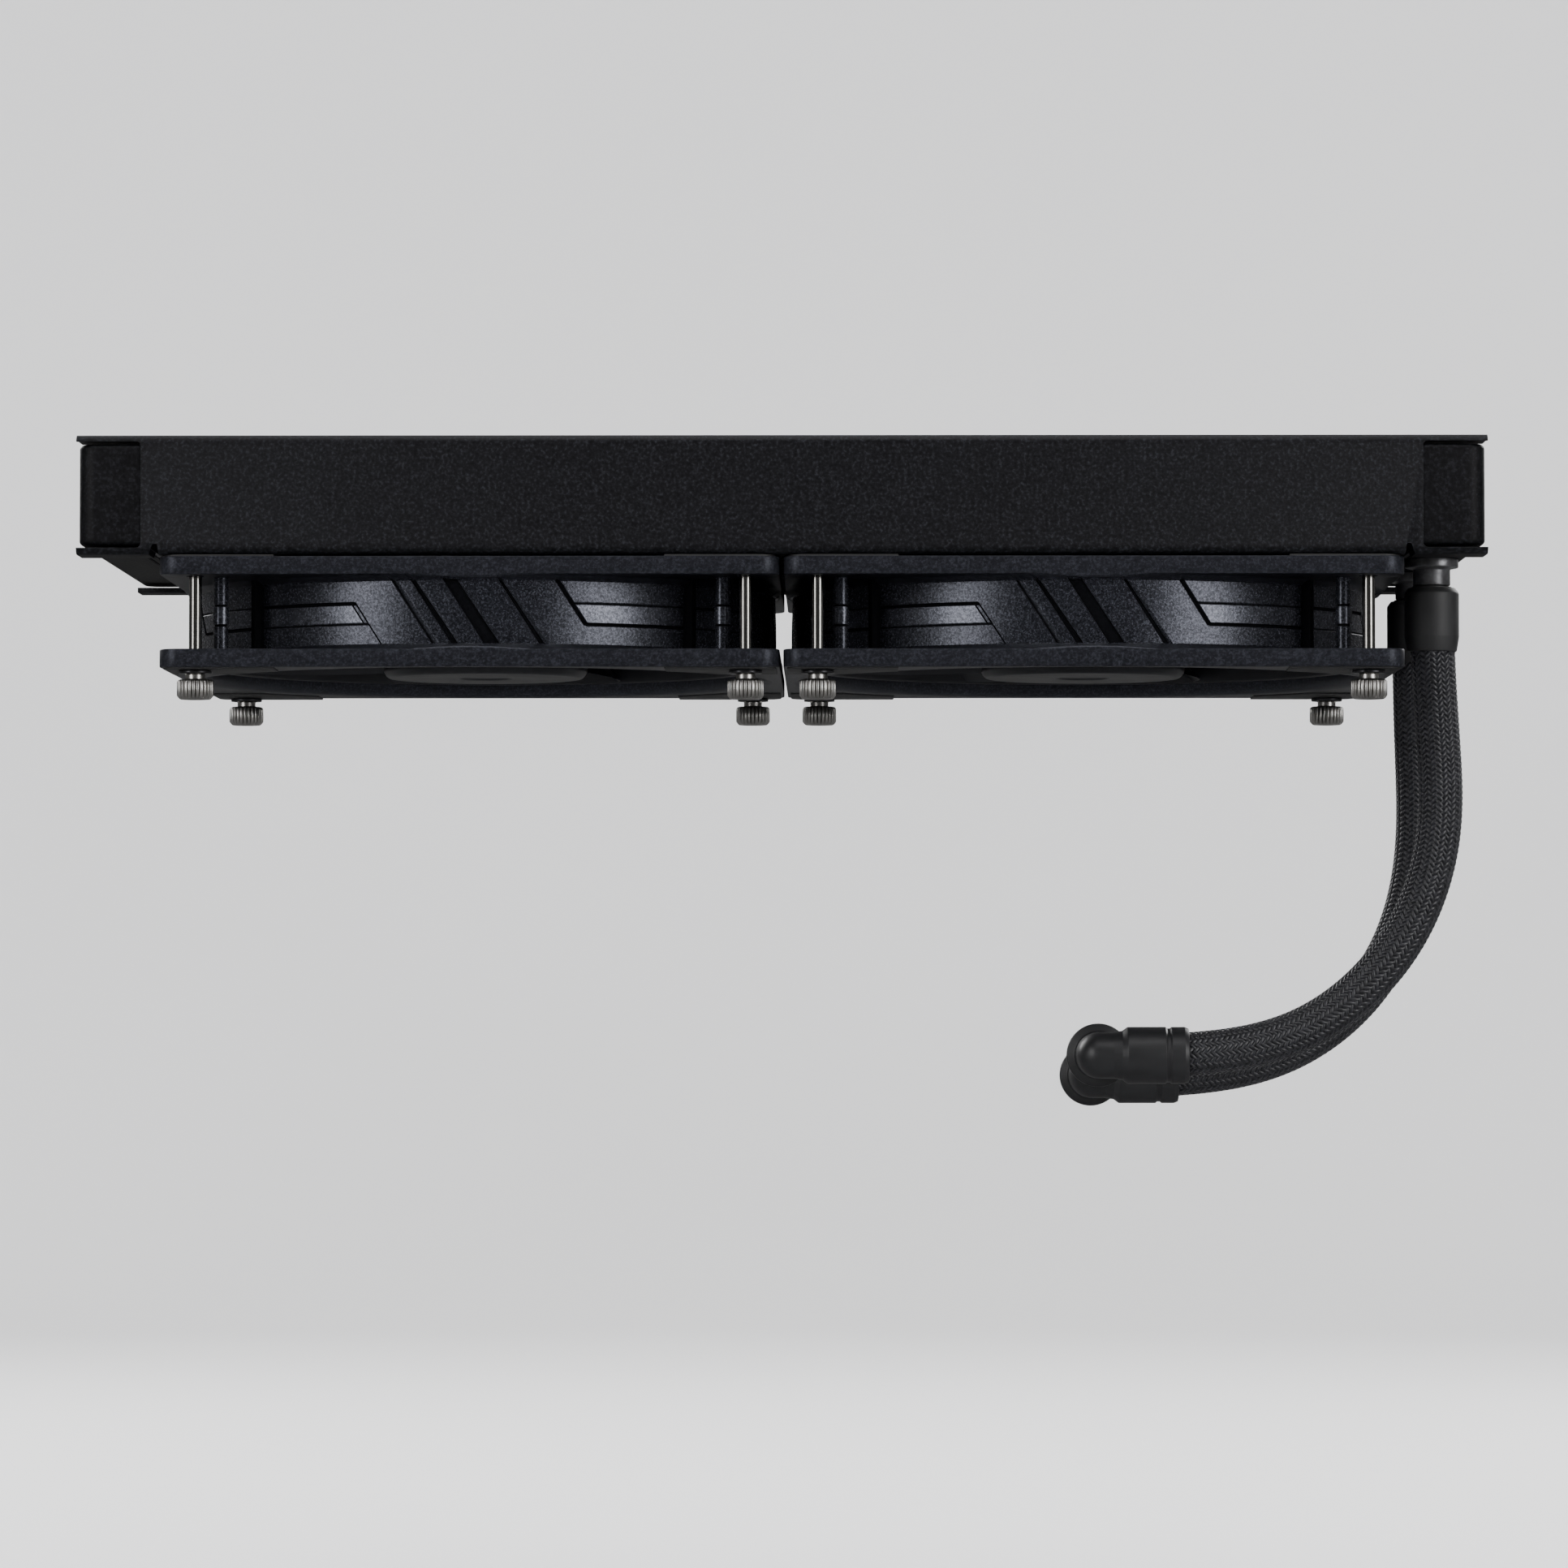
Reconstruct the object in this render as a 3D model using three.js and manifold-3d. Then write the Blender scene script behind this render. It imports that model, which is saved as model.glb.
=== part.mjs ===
// Closed-loop liquid cooling radiator for a computer: a two-fan aluminium radiator with its end
// tanks, brazed tube core and fin strips, two 140 mm fans screwed below it with knurled
// thumbscrews, and two braided hoses that end in swivel elbows.
//
// Millimetres, +Z up. +X runs along the radiator towards the hose end, +Y away from the front.
// The origin lies on the top face of the front mounting flange, halfway along it.

import * as THREE from 'three';
import { mergeVertices } from 'three/addons/utils/BufferGeometryUtils.js';
import Module from 'manifold-3d';

const wasm = await Module();
wasm.setup();

// ---------------------------------------------------------------- driving dimensions

const GAP = 0.3; // clearance between neighbouring pieces

const RADIATOR = { length: 318, width: 139, height: 27, sheet: 1.2, bend: 2 };
const FLANGE_DEPTH = 12.2; // how far the side plates' flanges reach inwards
const WINDOW = { start: 144.4, strap: 1.8, corner: 1 }; // opening that shows the tank's side
const RELIEF = { x: 142, width: 2.2, height: 2.4, shoulder: 1.1 }; // in the plate's lower edge

const TANK = { inner: 144.8, outer: 158.6, halfWidth: 69.2, top: -2.1, bottom: -24.9, wall: 1.6, corner: 4 };
const HEADER = { inner: 143.4, outer: 144.7, halfWidth: 68 };
const CORE = { halfWidth: 57, top: -4.5, bottom: -22.5, fins: 12, tubeThickness: 2, tubeWall: 0.4 };
const FIN = { halfLength: 142.9, halfWaves: 18, thickness: 0.5, play: 0.05 };
const FILL_PLUG = {
  shank: 4, length: 5, head: 5.2, headHeight: 0.3, headGap: 0.08, socket: 2, socketDepth: 3.2,
};

const FAN = { size: 140, pitch: 140.8, height: 25, corner: 4.6, flange: 4.1, pad: 0.38 };
const FAN_TOP = -(RADIATOR.height + 0.4); // height of the fan frames' upper face
const HOLE_SPACING = 124.5;
const HOLE_RADIUS = 2.2;
const BARREL = { inner: 66, outer: 68.6 };
const POST = { offset: 57, radius: 1.7 };
const RIB = { inner: 67.1, outer: 71, width: 1.6 }; // upright web between the barrel and a corner
const PAD = { start: 48, margin: 0.6, bevel: 2.76 }; // rubber pad on a flange's corner
const STRUT = { count: 4, width: 4, from: 80, to: 100 }; // from and to are degrees around the fan
const MOTOR = { plateRadius: 23, plateHeight: 2.6, tubeInner: 4.3, tubeOuter: 5.9, tubeBottom: -17.5 };
const NOTCH = { left: -3, right: 5, bottom: -9.2 }; // cable opening in the barrel
const CABLE_EXIT = 99; // degrees around the fan, where the cable passes the barrel
const CABLE_RADIUS = 1;
const CONNECTOR = {
  x: -48, y: 67.8, z: -12.5, length: 13, width: 5.6, height: 10, key: 0.9, pins: 4, pinPitch: 2.54,
};
const HUB = { radius: 24, wall: 1.4, top: -5.6, bottom: -24, bossRadius: 2.6, bossTop: -19 };
const BLADES = {
  count: 7, chord: 33, camber: 2.6, thickness: 1.7, middle: -15.2, sweep: 0.5, overrun: 2.75,
  pitch: { root: 0.62, tip: 0.36 }, scale: { root: 0.62, tip: 1.1 },
};
const RING = { inner: 63.6, outer: 65, top: -10, bottom: -22 };
const SHAFT = { radius: 1.5, top: -4.5, bottom: -22.2, play: 0.1 };
const BEARING = { top: -2.8, foot: 0.4, play: 0.15 };
const MAGNET = { inner: 20.7, bottom: -16, top: -6.4 };
const BOARD = { outer: 17.8, bottom: -4.8, top: -3.6, play: 0.2 };
const STATOR = {
  poles: 4, bottom: -14.5, top: -8, hub: 9, limbWidth: 4.4,
  shoe: { inner: 17.6, outer: 19.4, halfWidth: 11 },
  coil: { start: 10.2, end: 16.8, width: 9.2, bottom: -15.6, top: -6.9 },
};

const SCREW = {
  shaftRadius: 1.45, tip: -22.8, neckRadius: 2.75, neckHeight: 1.25,
  headRadius: 4.15, headHeight: 4.5, domeHeight: 1, teeth: 12, toothDepth: 0.35, gap: 0.05,
};
const WASHER = { inner: 1.75, outer: 3.75, height: 0.75, gap: 0.07 };

const HOSE = {
  x: 150.5, y: 23.5, inner: 3.3, outer: 5, top: -31.4,
  front: { lean: 2, drop: 0 }, rear: { lean: 0.6, drop: 5 },
};
const FERRULE = { inner: 5.2, outer: 6.3, top: -31.7, bottom: -46.5, bevelWidth: 0.7, bevelHeight: 1.2 };
const PORT = { bore: 2.2, barb: 3, plug: 4.1, flange: 6.2, flangeBottom: -27, neck: 4.3, bottom: -44 };
const ELBOW = {
  collar: 6.6, body: 5.4, setBack: 6.4, bore: 2.2, flange: 7.4, flangeHeight: 3,
  overlap: 1.5, reach: 14, outlet: 15,
};

// ---------------------------------------------------------------- materials

const finish = (color, roughness, metalness) => ({ color, roughness, metalness });
const FINISHES = {
  powderCoat: finish(0x2b2c31, 0.62, 0.1),
  blackAluminium: finish(0x1a1b1e, 0.5, 0.6),
  fanPlastic: finish(0x3a3b42, 0.5, 0),
  bladePlastic: finish(0x17181b, 0.38, 0),
  steel: finish(0xc9c4bd, 0.25, 1),
  nickel: finish(0xa6a29c, 0.3, 1),
  washer: finish(0x1b1b1d, 0.55, 0.3),
  rubber: finish(0x121214, 0.75, 0),
  braid: finish(0x17171b, 0.7, 0),
  copper: finish(0x9a5a32, 0.4, 0.9),
  magnet: finish(0x2c2c2e, 0.8, 0.2),
  board: finish(0x123a24, 0.5, 0),
  bronze: finish(0x8a6a3c, 0.45, 0.9),
};

// ---------------------------------------------------------------- helpers

// A closed three.js geometry as a solid that can be joined and cut.
function solid(geometry) {
  const bare = geometry.clone();
  bare.deleteAttribute('normal');
  bare.deleteAttribute('uv');
  const merged = mergeVertices(bare, 1e-4);
  const mesh = new wasm.Mesh({
    numProp: 3,
    vertProperties: Float32Array.from(merged.attributes.position.array),
    triVerts: Uint32Array.from(merged.index.array),
  });
  return new wasm.Manifold(mesh);
}

function geometryOf(manifold) {
  const { numProp, vertProperties, triVerts } = manifold.getMesh();
  const positions = new Float32Array((vertProperties.length / numProp) * 3);
  for (let i = 0; i < positions.length / 3; i += 1) {
    positions.set(vertProperties.subarray(i * numProp, i * numProp + 3), i * 3);
  }
  const geometry = new THREE.BufferGeometry();
  geometry.setAttribute('position', new THREE.BufferAttribute(positions, 3));
  geometry.setIndex(new THREE.BufferAttribute(Uint32Array.from(triVerts), 1));
  geometry.computeVertexNormals();
  return geometry;
}

const join = (pieces) => pieces.reduce((sum, piece) => sum.add(piece));
const cut = (body, pieces) => pieces.reduce((rest, piece) => rest.subtract(piece), body);

function extrude(shape, bottom, top, curveSegments = 8) {
  const options = { depth: top - bottom, bevelEnabled: false, curveSegments };
  return new THREE.ExtrudeGeometry(shape, options).translate(0, 0, bottom);
}

// A shape drawn in the Y-Z plane, extruded along X.
function extrudeAlongX(shape, start, end, curveSegments = 4) {
  const turn = new THREE.Matrix4().makeBasis(
    new THREE.Vector3(0, 1, 0), new THREE.Vector3(0, 0, 1), new THREE.Vector3(1, 0, 0));
  return extrude(shape, start, end, curveSegments).applyMatrix4(turn);
}

// A closed profile of [radius, z] points turned about the Z axis.
function revolve(profile, segments) {
  const points = [...profile, profile[0]].map(([r, z]) => new THREE.Vector2(r, z));
  return new THREE.LatheGeometry(points, segments).rotateX(Math.PI / 2);
}

function cylinder(radius, bottom, top, segments = 16, x = 0, y = 0) {
  return new THREE.CylinderGeometry(radius, radius, top - bottom, segments)
    .rotateX(Math.PI / 2)
    .translate(x, y, (top + bottom) / 2);
}

function ring(inner, outer, bottom, top, segments) {
  return revolve([[inner, bottom], [outer, bottom], [outer, top], [inner, top]], segments);
}

function block(low, high) {
  const size = high.map((value, i) => value - low[i]);
  const middle = high.map((value, i) => (value + low[i]) / 2);
  return new THREE.BoxGeometry(...size).translate(...middle);
}

function roundedRectangle(halfX, halfY, radius) {
  const shape = new THREE.Shape();
  const corners = [[1, -1, -90], [1, 1, 0], [-1, 1, 90], [-1, -1, 180]];
  for (const [sideX, sideY, degrees] of corners) {
    const start = THREE.MathUtils.degToRad(degrees);
    const x = sideX * (halfX - radius);
    const y = sideY * (halfY - radius);
    shape.absarc(x, y, radius, start, start + Math.PI / 2, false);
  }
  shape.closePath();
  return shape;
}

function polar(radius, degrees, z) {
  const angle = THREE.MathUtils.degToRad(degrees);
  return new THREE.Vector3(radius * Math.cos(angle), radius * Math.sin(angle), z);
}

function piece(name, geometry, finishName) {
  const mesh = new THREE.Mesh(geometry, new THREE.MeshStandardMaterial(FINISHES[finishName]));
  mesh.name = name;
  return mesh;
}

const SIDES = [-1, 1];
const CORNERS = [[-1, -1], [1, -1], [-1, 1], [1, 1]];
const FAN_CENTRES = SIDES.map((side) => (side * FAN.pitch) / 2);

// ---------------------------------------------------------------- radiator

// C-shaped channel: an upright face with a flange along its top and bottom. Its ends are cut
// away in front of the tanks, which leaves a narrow strap above and below each of them.
function sidePlateGeometry() {
  const { length, width, height, sheet, bend } = RADIATOR;
  const face = -width / 2;
  const lip = face + FLANGE_DEPTH;
  const inner = bend - sheet;
  const profile = new THREE.Shape();
  profile.moveTo(lip, 0);
  profile.lineTo(lip, -sheet);
  profile.absarc(face + bend, -bend, inner, Math.PI / 2, Math.PI, false);
  profile.absarc(face + bend, -height + bend, inner, Math.PI, 1.5 * Math.PI, false);
  profile.lineTo(lip, -height + sheet);
  profile.lineTo(lip, -height);
  profile.absarc(face + bend, -height + bend, bend, 1.5 * Math.PI, Math.PI, true);
  profile.absarc(face + bend, -bend, bend, Math.PI, Math.PI / 2, true);
  profile.closePath();
  const channel = solid(extrudeAlongX(profile, -length / 2, length / 2, 2));

  const cuts = [];
  const windowHalf = (length / 2 + WINDOW.corner + 3 - WINDOW.start) / 2;
  const opening = roundedRectangle(windowHalf, height / 2 - WINDOW.strap, WINDOW.corner);
  for (const side of SIDES) {
    const middle = side * (WINDOW.start + windowHalf);
    const window = extrude(opening, -sheet * 2, sheet * 2, 2)
      .rotateX(Math.PI / 2)
      .translate(middle, face, -height / 2);
    cuts.push(solid(window));
    cuts.push(solid(reliefGeometry().translate(side * RELIEF.x, face, -height)));
  }
  for (const x of screwPlaces()) {
    const y = -HOLE_SPACING / 2;
    cuts.push(solid(cylinder(WASHER.inner, -height - 1, 1, 8, x, y)));
  }
  return geometryOf(cut(channel, cuts));
}

// Pointed bend relief, as a prism that runs through the face and the lower flange.
function reliefGeometry() {
  const half = RELIEF.width / 2;
  const shape = new THREE.Shape();
  shape.moveTo(-half, -1);
  shape.lineTo(half, -1);
  shape.lineTo(half, RELIEF.shoulder);
  shape.lineTo(0, RELIEF.height);
  shape.lineTo(-half, RELIEF.shoulder);
  shape.closePath();
  return extrude(shape, -FLANGE_DEPTH - 1, 1).rotateX(Math.PI / 2);
}

// The X positions of the screw holes along one long edge.
function screwPlaces() {
  return FAN_CENTRES.flatMap((centre) => SIDES.map((side) => centre + (side * HOLE_SPACING) / 2));
}

// Box with rounded outer corners, hollow and open towards the core.
function tankBody() {
  const { inner, outer, halfWidth, top, bottom, wall, corner } = TANK;
  const halfLength = (outer - inner) / 2;
  const middle = (outer + inner) / 2;
  const shell = extrude(roundedRectangle(halfLength, halfWidth, corner), bottom, top, 2);
  const squareEnd = block([-halfLength, -halfWidth, bottom], [0, halfWidth, top]);
  const cavity = block(
    [inner - 1, -halfWidth + wall, bottom + wall],
    [outer - wall, halfWidth - wall, top - wall]);
  const body = solid(shell.translate(middle, 0, 0)).add(solid(squareEnd.translate(middle, 0, 0)));
  return body.subtract(solid(cavity));
}

function hoseTankGeometry() {
  const holes = SIDES.map((side) => solid(
    cylinder(PORT.plug + GAP, TANK.bottom - 1, TANK.bottom + TANK.wall + 1, 16, HOSE.x, side * HOSE.y)));
  return geometryOf(cut(tankBody(), holes));
}

function plainTankGeometry() {
  const hole = cylinder(FILL_PLUG.shank + GAP, TANK.outer - TANK.wall - 1, TANK.outer + 1, 16)
    .rotateY(Math.PI / 2)
    .translate(0, 0, -RADIATOR.height / 2);
  return geometryOf(tankBody().subtract(solid(hole))).rotateZ(Math.PI);
}

// Screw plug of the filling port, with a hexagon socket in its head.
function fillPlugGeometry() {
  const { shank, head, headHeight, headGap, length, socket, socketDepth } = FILL_PLUG;
  const outside = TANK.outer + headGap;
  const body = solid(cylinder(shank, outside - length, outside + 0.1, 16));
  const cap = solid(cylinder(head, outside, outside + headHeight, 20));
  const hexagon = solid(cylinder(socket, outside + headHeight - socketDepth, outside + 2, 6));
  return geometryOf(body.add(cap).subtract(hexagon))
    .rotateY(-Math.PI / 2)
    .translate(0, 0, -RADIATOR.height / 2);
}

function stadium(halfY, top, bottom) {
  const shape = new THREE.Shape();
  shape.absarc(0, bottom + halfY, halfY, Math.PI, 2 * Math.PI, false);
  shape.absarc(0, top - halfY, halfY, 0, Math.PI, false);
  shape.closePath();
  return shape;
}

const FIN_HEIGHT = (2 * CORE.halfWidth - (CORE.fins - 1) * CORE.tubeThickness) / CORE.fins;
const ROW_PITCH = FIN_HEIGHT + CORE.tubeThickness;

// The header plates and the flat tubes, brazed into one piece, with open channels through it.
function tubeCoreGeometry() {
  const { top, bottom, tubeThickness, tubeWall, fins } = CORE;
  const end = HEADER.outer + 0.8;
  const half = tubeThickness / 2;
  const outside = stadium(half, top, bottom);
  const channel = stadium(half - tubeWall, top - tubeWall, bottom + tubeWall);
  const header = block(
    [HEADER.inner, -HEADER.halfWidth, TANK.bottom], [HEADER.outer, HEADER.halfWidth, TANK.top]);
  const headers = [solid(header), solid(header.clone().rotateZ(Math.PI))];
  const tubes = [];
  const channels = [];
  for (let row = 1; row < fins; row += 1) {
    const y = (row - fins / 2) * ROW_PITCH;
    tubes.push(solid(extrudeAlongX(outside, -end, end, 1).translate(0, y, 0)));
    channels.push(solid(extrudeAlongX(channel, -end - 1, end + 1, 1).translate(0, y, 0)));
  }
  return geometryOf(cut(join([...headers, ...tubes]), channels));
}

// One corrugated strip, folded between two tubes.
function finStripGeometry() {
  const { halfLength, halfWaves, thickness, play } = FIN;
  const reach = FIN_HEIGHT / 2 - thickness / 2 - play;
  const fold = (i) => ({
    x: -halfLength + (2 * halfLength * i) / halfWaves,
    y: i % 2 ? reach : -reach,
  });
  const shape = new THREE.Shape();
  for (let i = 0; i <= halfWaves; i += 1) {
    const { x, y } = fold(i);
    if (i === 0) shape.moveTo(x, y - thickness / 2);
    else shape.lineTo(x, y - thickness / 2);
  }
  for (let i = halfWaves; i >= 0; i -= 1) {
    const { x, y } = fold(i);
    shape.lineTo(x, y + thickness / 2);
  }
  shape.closePath();
  return extrude(shape, CORE.bottom, CORE.top);
}

function radiatorPieces() {
  const plate = sidePlateGeometry();
  const rearPlate = plate.clone().rotateZ(Math.PI);
  const pieces = [
    piece('side_plate_front', plate, 'powderCoat'),
    piece('side_plate_rear', rearPlate, 'powderCoat'),
    piece('end_tank_left', plainTankGeometry(), 'powderCoat'),
    piece('end_tank_right', hoseTankGeometry(), 'powderCoat'),
    piece('fill_plug', fillPlugGeometry(), 'nickel'),
    piece('tube_core', tubeCoreGeometry(), 'blackAluminium'),
  ];
  const strip = finStripGeometry();
  for (let row = 0; row < CORE.fins; row += 1) {
    const fin = piece(`fin_strip_${row + 1}`, strip, 'blackAluminium');
    fin.position.y = (row - (CORE.fins - 1) / 2) * ROW_PITCH;
    pieces.push(fin);
  }
  return pieces;
}

// ---------------------------------------------------------------- hoses

// The hoses leave the tank downwards, lean slightly, and turn inwards below the fans.
function hosePath(side) {
  const { lean, drop } = side < 0 ? HOSE.front : HOSE.rear;
  const y = side * HOSE.y;
  return new THREE.CatmullRomCurve3([
    new THREE.Vector3(HOSE.x, y, HOSE.top),
    new THREE.Vector3(HOSE.x, y, -44),
    new THREE.Vector3(HOSE.x + lean * 0.6, y, -66),
    new THREE.Vector3(HOSE.x + lean, y, -90 - drop),
    new THREE.Vector3(HOSE.x - 8, y, -116 - drop),
    new THREE.Vector3(HOSE.x - 30, y, -135 - drop),
    new THREE.Vector3(HOSE.x - 56, y, -140 - drop),
    new THREE.Vector3(HOSE.x - 70, y, -140 - drop),
  ], false, 'centripetal');
}

function circleShape(radius) {
  const shape = new THREE.Shape();
  shape.absarc(0, 0, radius, 0, 2 * Math.PI, false);
  return shape;
}

function hoseGeometry(side) {
  const wall = circleShape(HOSE.outer);
  const bore = new THREE.Path();
  bore.absarc(0, 0, HOSE.inner, 0, 2 * Math.PI, true);
  wall.holes.push(bore);
  const options = { steps: 10, curveSegments: 5, bevelEnabled: false, extrudePath: hosePath(side) };
  return geometryOf(solid(new THREE.ExtrudeGeometry(wall, options)));
}

// Barbed fitting that is fixed in the tank's underside.
function portGeometry() {
  const { bore, barb, plug, flange, flangeBottom, neck, bottom } = PORT;
  const stem = barb - GAP;
  const neckBottom = HOSE.top + GAP;
  const flangeTop = TANK.bottom - 0.1;
  const top = TANK.bottom + TANK.wall;
  return revolve([
    [bore, bottom], [barb - 0.4, bottom], [barb, bottom + 2], [stem, bottom + 2.2],
    [stem, neckBottom], [neck, neckBottom], [neck, flangeBottom], [flange, flangeBottom],
    [flange, flangeTop], [plug, flangeTop], [plug, top], [bore, top],
  ], 12);
}

function ferruleGeometry() {
  const { inner, outer, top, bottom, bevelWidth, bevelHeight } = FERRULE;
  return revolve([
    [inner, bottom], [outer - bevelWidth, bottom], [outer, bottom + bevelHeight],
    [outer, top - bevelHeight], [outer - bevelWidth, top], [inner, top],
  ], 14);
}

// Swivel elbow: a collar over the hose's end, a barb inside it, and an outlet turned to +Y.
// The hose enters along +X at the local origin.
function elbowGeometry() {
  const { collar, body, setBack, bore, flange, flangeHeight, overlap, reach, outlet } = ELBOW;
  const alongX = (radius, start, end, segments) => solid(
    cylinder(radius, start, end, segments).rotateY(Math.PI / 2));
  const alongY = (radius, start, end, segments) => solid(
    cylinder(radius, start, end, segments).rotateX(-Math.PI / 2).translate(-setBack, 0, 0));
  const outside = join([
    alongX(collar, -overlap, reach, 14),
    alongX(body, -setBack, 0, 12),
    solid(new THREE.SphereGeometry(body, 12, 6).rotateX(Math.PI / 2).translate(-setBack, 0, 0)),
    alongY(body, 0, outlet, 12),
    alongY(flange, outlet - flangeHeight, outlet, 16),
  ]);
  const pocket = alongX(HOSE.outer + GAP, 0.3, reach + 1, 14);
  const barb = alongX(HOSE.inner - 0.4, -1, reach - 3, 10);
  const bores = [alongX(bore, -setBack, reach, 8), alongY(bore, -bore * 0.8, outlet + 1, 8)];
  return geometryOf(cut(outside.subtract(pocket).add(barb), bores));
}

function hosePieces() {
  const pieces = [];
  for (const [side, label] of [[-1, 'front'], [1, 'rear']]) {
    const end = hosePath(side).getPoint(1);
    const port = piece(`hose_port_${label}`, geometryOf(solid(portGeometry())), 'nickel');
    const ferrule = piece(`hose_ferrule_${label}`, geometryOf(solid(ferruleGeometry())), 'rubber');
    for (const mesh of [port, ferrule]) mesh.position.set(HOSE.x, side * HOSE.y, 0);
    const elbow = piece(`hose_elbow_${label}`, elbowGeometry(), 'bladePlastic');
    elbow.position.set(end.x - 2 * GAP, end.y, end.z);
    pieces.push(port, ferrule, piece(`hose_${label}`, hoseGeometry(side), 'braid'), elbow);
  }
  return pieces;
}

// ---------------------------------------------------------------- fans

// Square frame with two flanges, a round barrel, corner posts, rubber pads and the motor mount.
// Its upper face lies at z = 0 and carries the struts.
function fanFrameGeometry() {
  const { size, height, corner, flange, pad } = FAN;
  const outline = roundedRectangle(size / 2, size / 2, corner);
  const flanges = [[-flange, 0], [-height, flange - height]].map(([bottom, top]) => (
    solid(extrude(outline, bottom, top, 3))));
  const barrel = solid(cylinder(BARREL.outer, -height, 0, 40));
  const opening = solid(cylinder(BARREL.inner, -height - 1, 1, 40));
  const body = join([...flanges, barrel]).subtract(opening);

  const additions = [];
  for (const [sideX, sideY] of CORNERS) {
    const x = sideX * POST.offset;
    const y = sideY * POST.offset;
    additions.push(solid(cylinder(POST.radius, -height + 1, -1, 8, x, y)));
    const rib = block([RIB.inner, -RIB.width / 2, 1 - height], [RIB.outer, RIB.width / 2, -1]);
    additions.push(solid(rib.rotateZ(Math.atan2(sideY, sideX))));
  }
  additions.push(...cornerPads(-0.5, pad), ...cornerPads(-height - pad, 0.5 - height));
  additions.push(solid(cylinder(MOTOR.plateRadius, -MOTOR.plateHeight, 0, 24)));
  additions.push(solid(cylinder(MOTOR.tubeOuter, MOTOR.tubeBottom, -1, 16)));
  for (let k = 0; k < STRUT.count; k += 1) additions.push(strut((k * 360) / STRUT.count));

  const cuts = [solid(cylinder(MOTOR.tubeInner, MOTOR.tubeBottom - 1, -MOTOR.plateHeight, 16))];
  for (const [sideX, sideY] of CORNERS) {
    const half = HOLE_SPACING / 2;
    cuts.push(solid(cylinder(HOLE_RADIUS, -height - 2, 2, 8, sideX * half, sideY * half)));
  }
  const notch = block(
    [BARREL.inner - 2, NOTCH.left, NOTCH.bottom], [BARREL.outer + 2, NOTCH.right, -flange]);
  cuts.push(solid(notch.rotateZ(THREE.MathUtils.degToRad(CABLE_EXIT))));
  return geometryOf(cut(join([body, ...additions]), cuts));
}

// Four thin pads, one on each corner of a flange's face, sunk into it on one side.
function cornerPads(bottom, top) {
  const edge = FAN.size / 2 - PAD.margin;
  const shape = new THREE.Shape();
  shape.moveTo(PAD.start, PAD.start);
  shape.lineTo(edge, PAD.start);
  shape.lineTo(edge, edge - PAD.bevel);
  shape.lineTo(edge - PAD.bevel, edge);
  shape.lineTo(PAD.start, edge);
  shape.closePath();
  const pad = extrude(shape, bottom, top);
  return [0, 1, 2, 3].map((quarter) => solid(pad.clone().rotateZ((quarter * Math.PI) / 2)));
}

// Leaning strut between the motor plate and the barrel.
function strut(degrees) {
  const start = polar(MOTOR.plateRadius - 2, degrees + STRUT.from, 0);
  const end = polar(BARREL.inner + 1, degrees + STRUT.to, 0);
  const span = end.clone().sub(start);
  const bar = block([0, -STRUT.width / 2, -MOTOR.plateHeight], [span.length(), STRUT.width / 2, 0]);
  return solid(bar.rotateZ(Math.atan2(span.y, span.x)).translate(start.x, start.y, 0));
}

// Curved section that runs outwards past the hub and the ring, twisted and swept as it goes.
function bladeGeometry() {
  const { chord, camber, thickness, middle, sweep, pitch, scale } = BLADES;
  const section = new THREE.Shape();
  section.moveTo(-chord / 2, 0);
  section.quadraticCurveTo(0, camber * 2, chord / 2, 0);
  section.lineTo(chord / 2 - 0.6, -thickness * 0.6);
  section.quadraticCurveTo(0, camber * 2 - thickness * 2, -chord / 2 + 0.6, -thickness * 0.6);
  section.closePath();
  const inner = HUB.radius - BLADES.overrun;
  const outer = RING.outer + BLADES.overrun;
  const options = { depth: outer - inner, steps: 3, bevelEnabled: false, curveSegments: 3 };
  const geometry = new THREE.ExtrudeGeometry(section, options);
  const position = geometry.attributes.position;
  for (let i = 0; i < position.count; i += 1) {
    const along = position.getZ(i) / (outer - inner);
    const turn = THREE.MathUtils.lerp(pitch.root, pitch.tip, along);
    const size = THREE.MathUtils.lerp(scale.root, scale.tip, along);
    const u = position.getX(i) * size;
    const v = position.getY(i) * size;
    const tangential = u * Math.cos(turn) - v * Math.sin(turn);
    const axial = u * Math.sin(turn) + v * Math.cos(turn);
    const radius = inner + along * (outer - inner);
    const angle = sweep * along + tangential / radius;
    position.setXYZ(i, radius * Math.cos(angle), radius * Math.sin(angle), middle + axial);
  }
  return geometry;
}

// Hub cup, blades and the outer ring that joins their tips, moulded as one piece.
function impellerGeometry() {
  const { radius, wall, top, bottom, bossRadius, bossTop } = HUB;
  const cup = solid(revolve([
    [0, bottom], [radius - 2, bottom], [radius, bottom + 2], [radius, top], [radius - wall, top],
    [radius - wall, bottom + wall], [bossRadius, bottom + wall], [bossRadius, bossTop], [0, bossTop],
  ], 20));
  const rim = solid(ring(RING.inner, RING.outer, RING.bottom, RING.top, 32));
  const blade = bladeGeometry();
  const blades = [];
  for (let k = 0; k < BLADES.count; k += 1) {
    blades.push(solid(blade.clone().rotateZ((2 * Math.PI * k) / BLADES.count)));
  }
  const socket = solid(cylinder(SHAFT.radius + SHAFT.play, SHAFT.bottom - SHAFT.play, bossTop + 1, 12));
  const reach = solid(ring(radius - wall / 2, (RING.inner + RING.outer) / 2, bottom, top, 32));
  return geometryOf(join([cup, rim, join(blades).intersect(reach)]).subtract(socket));
}

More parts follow.
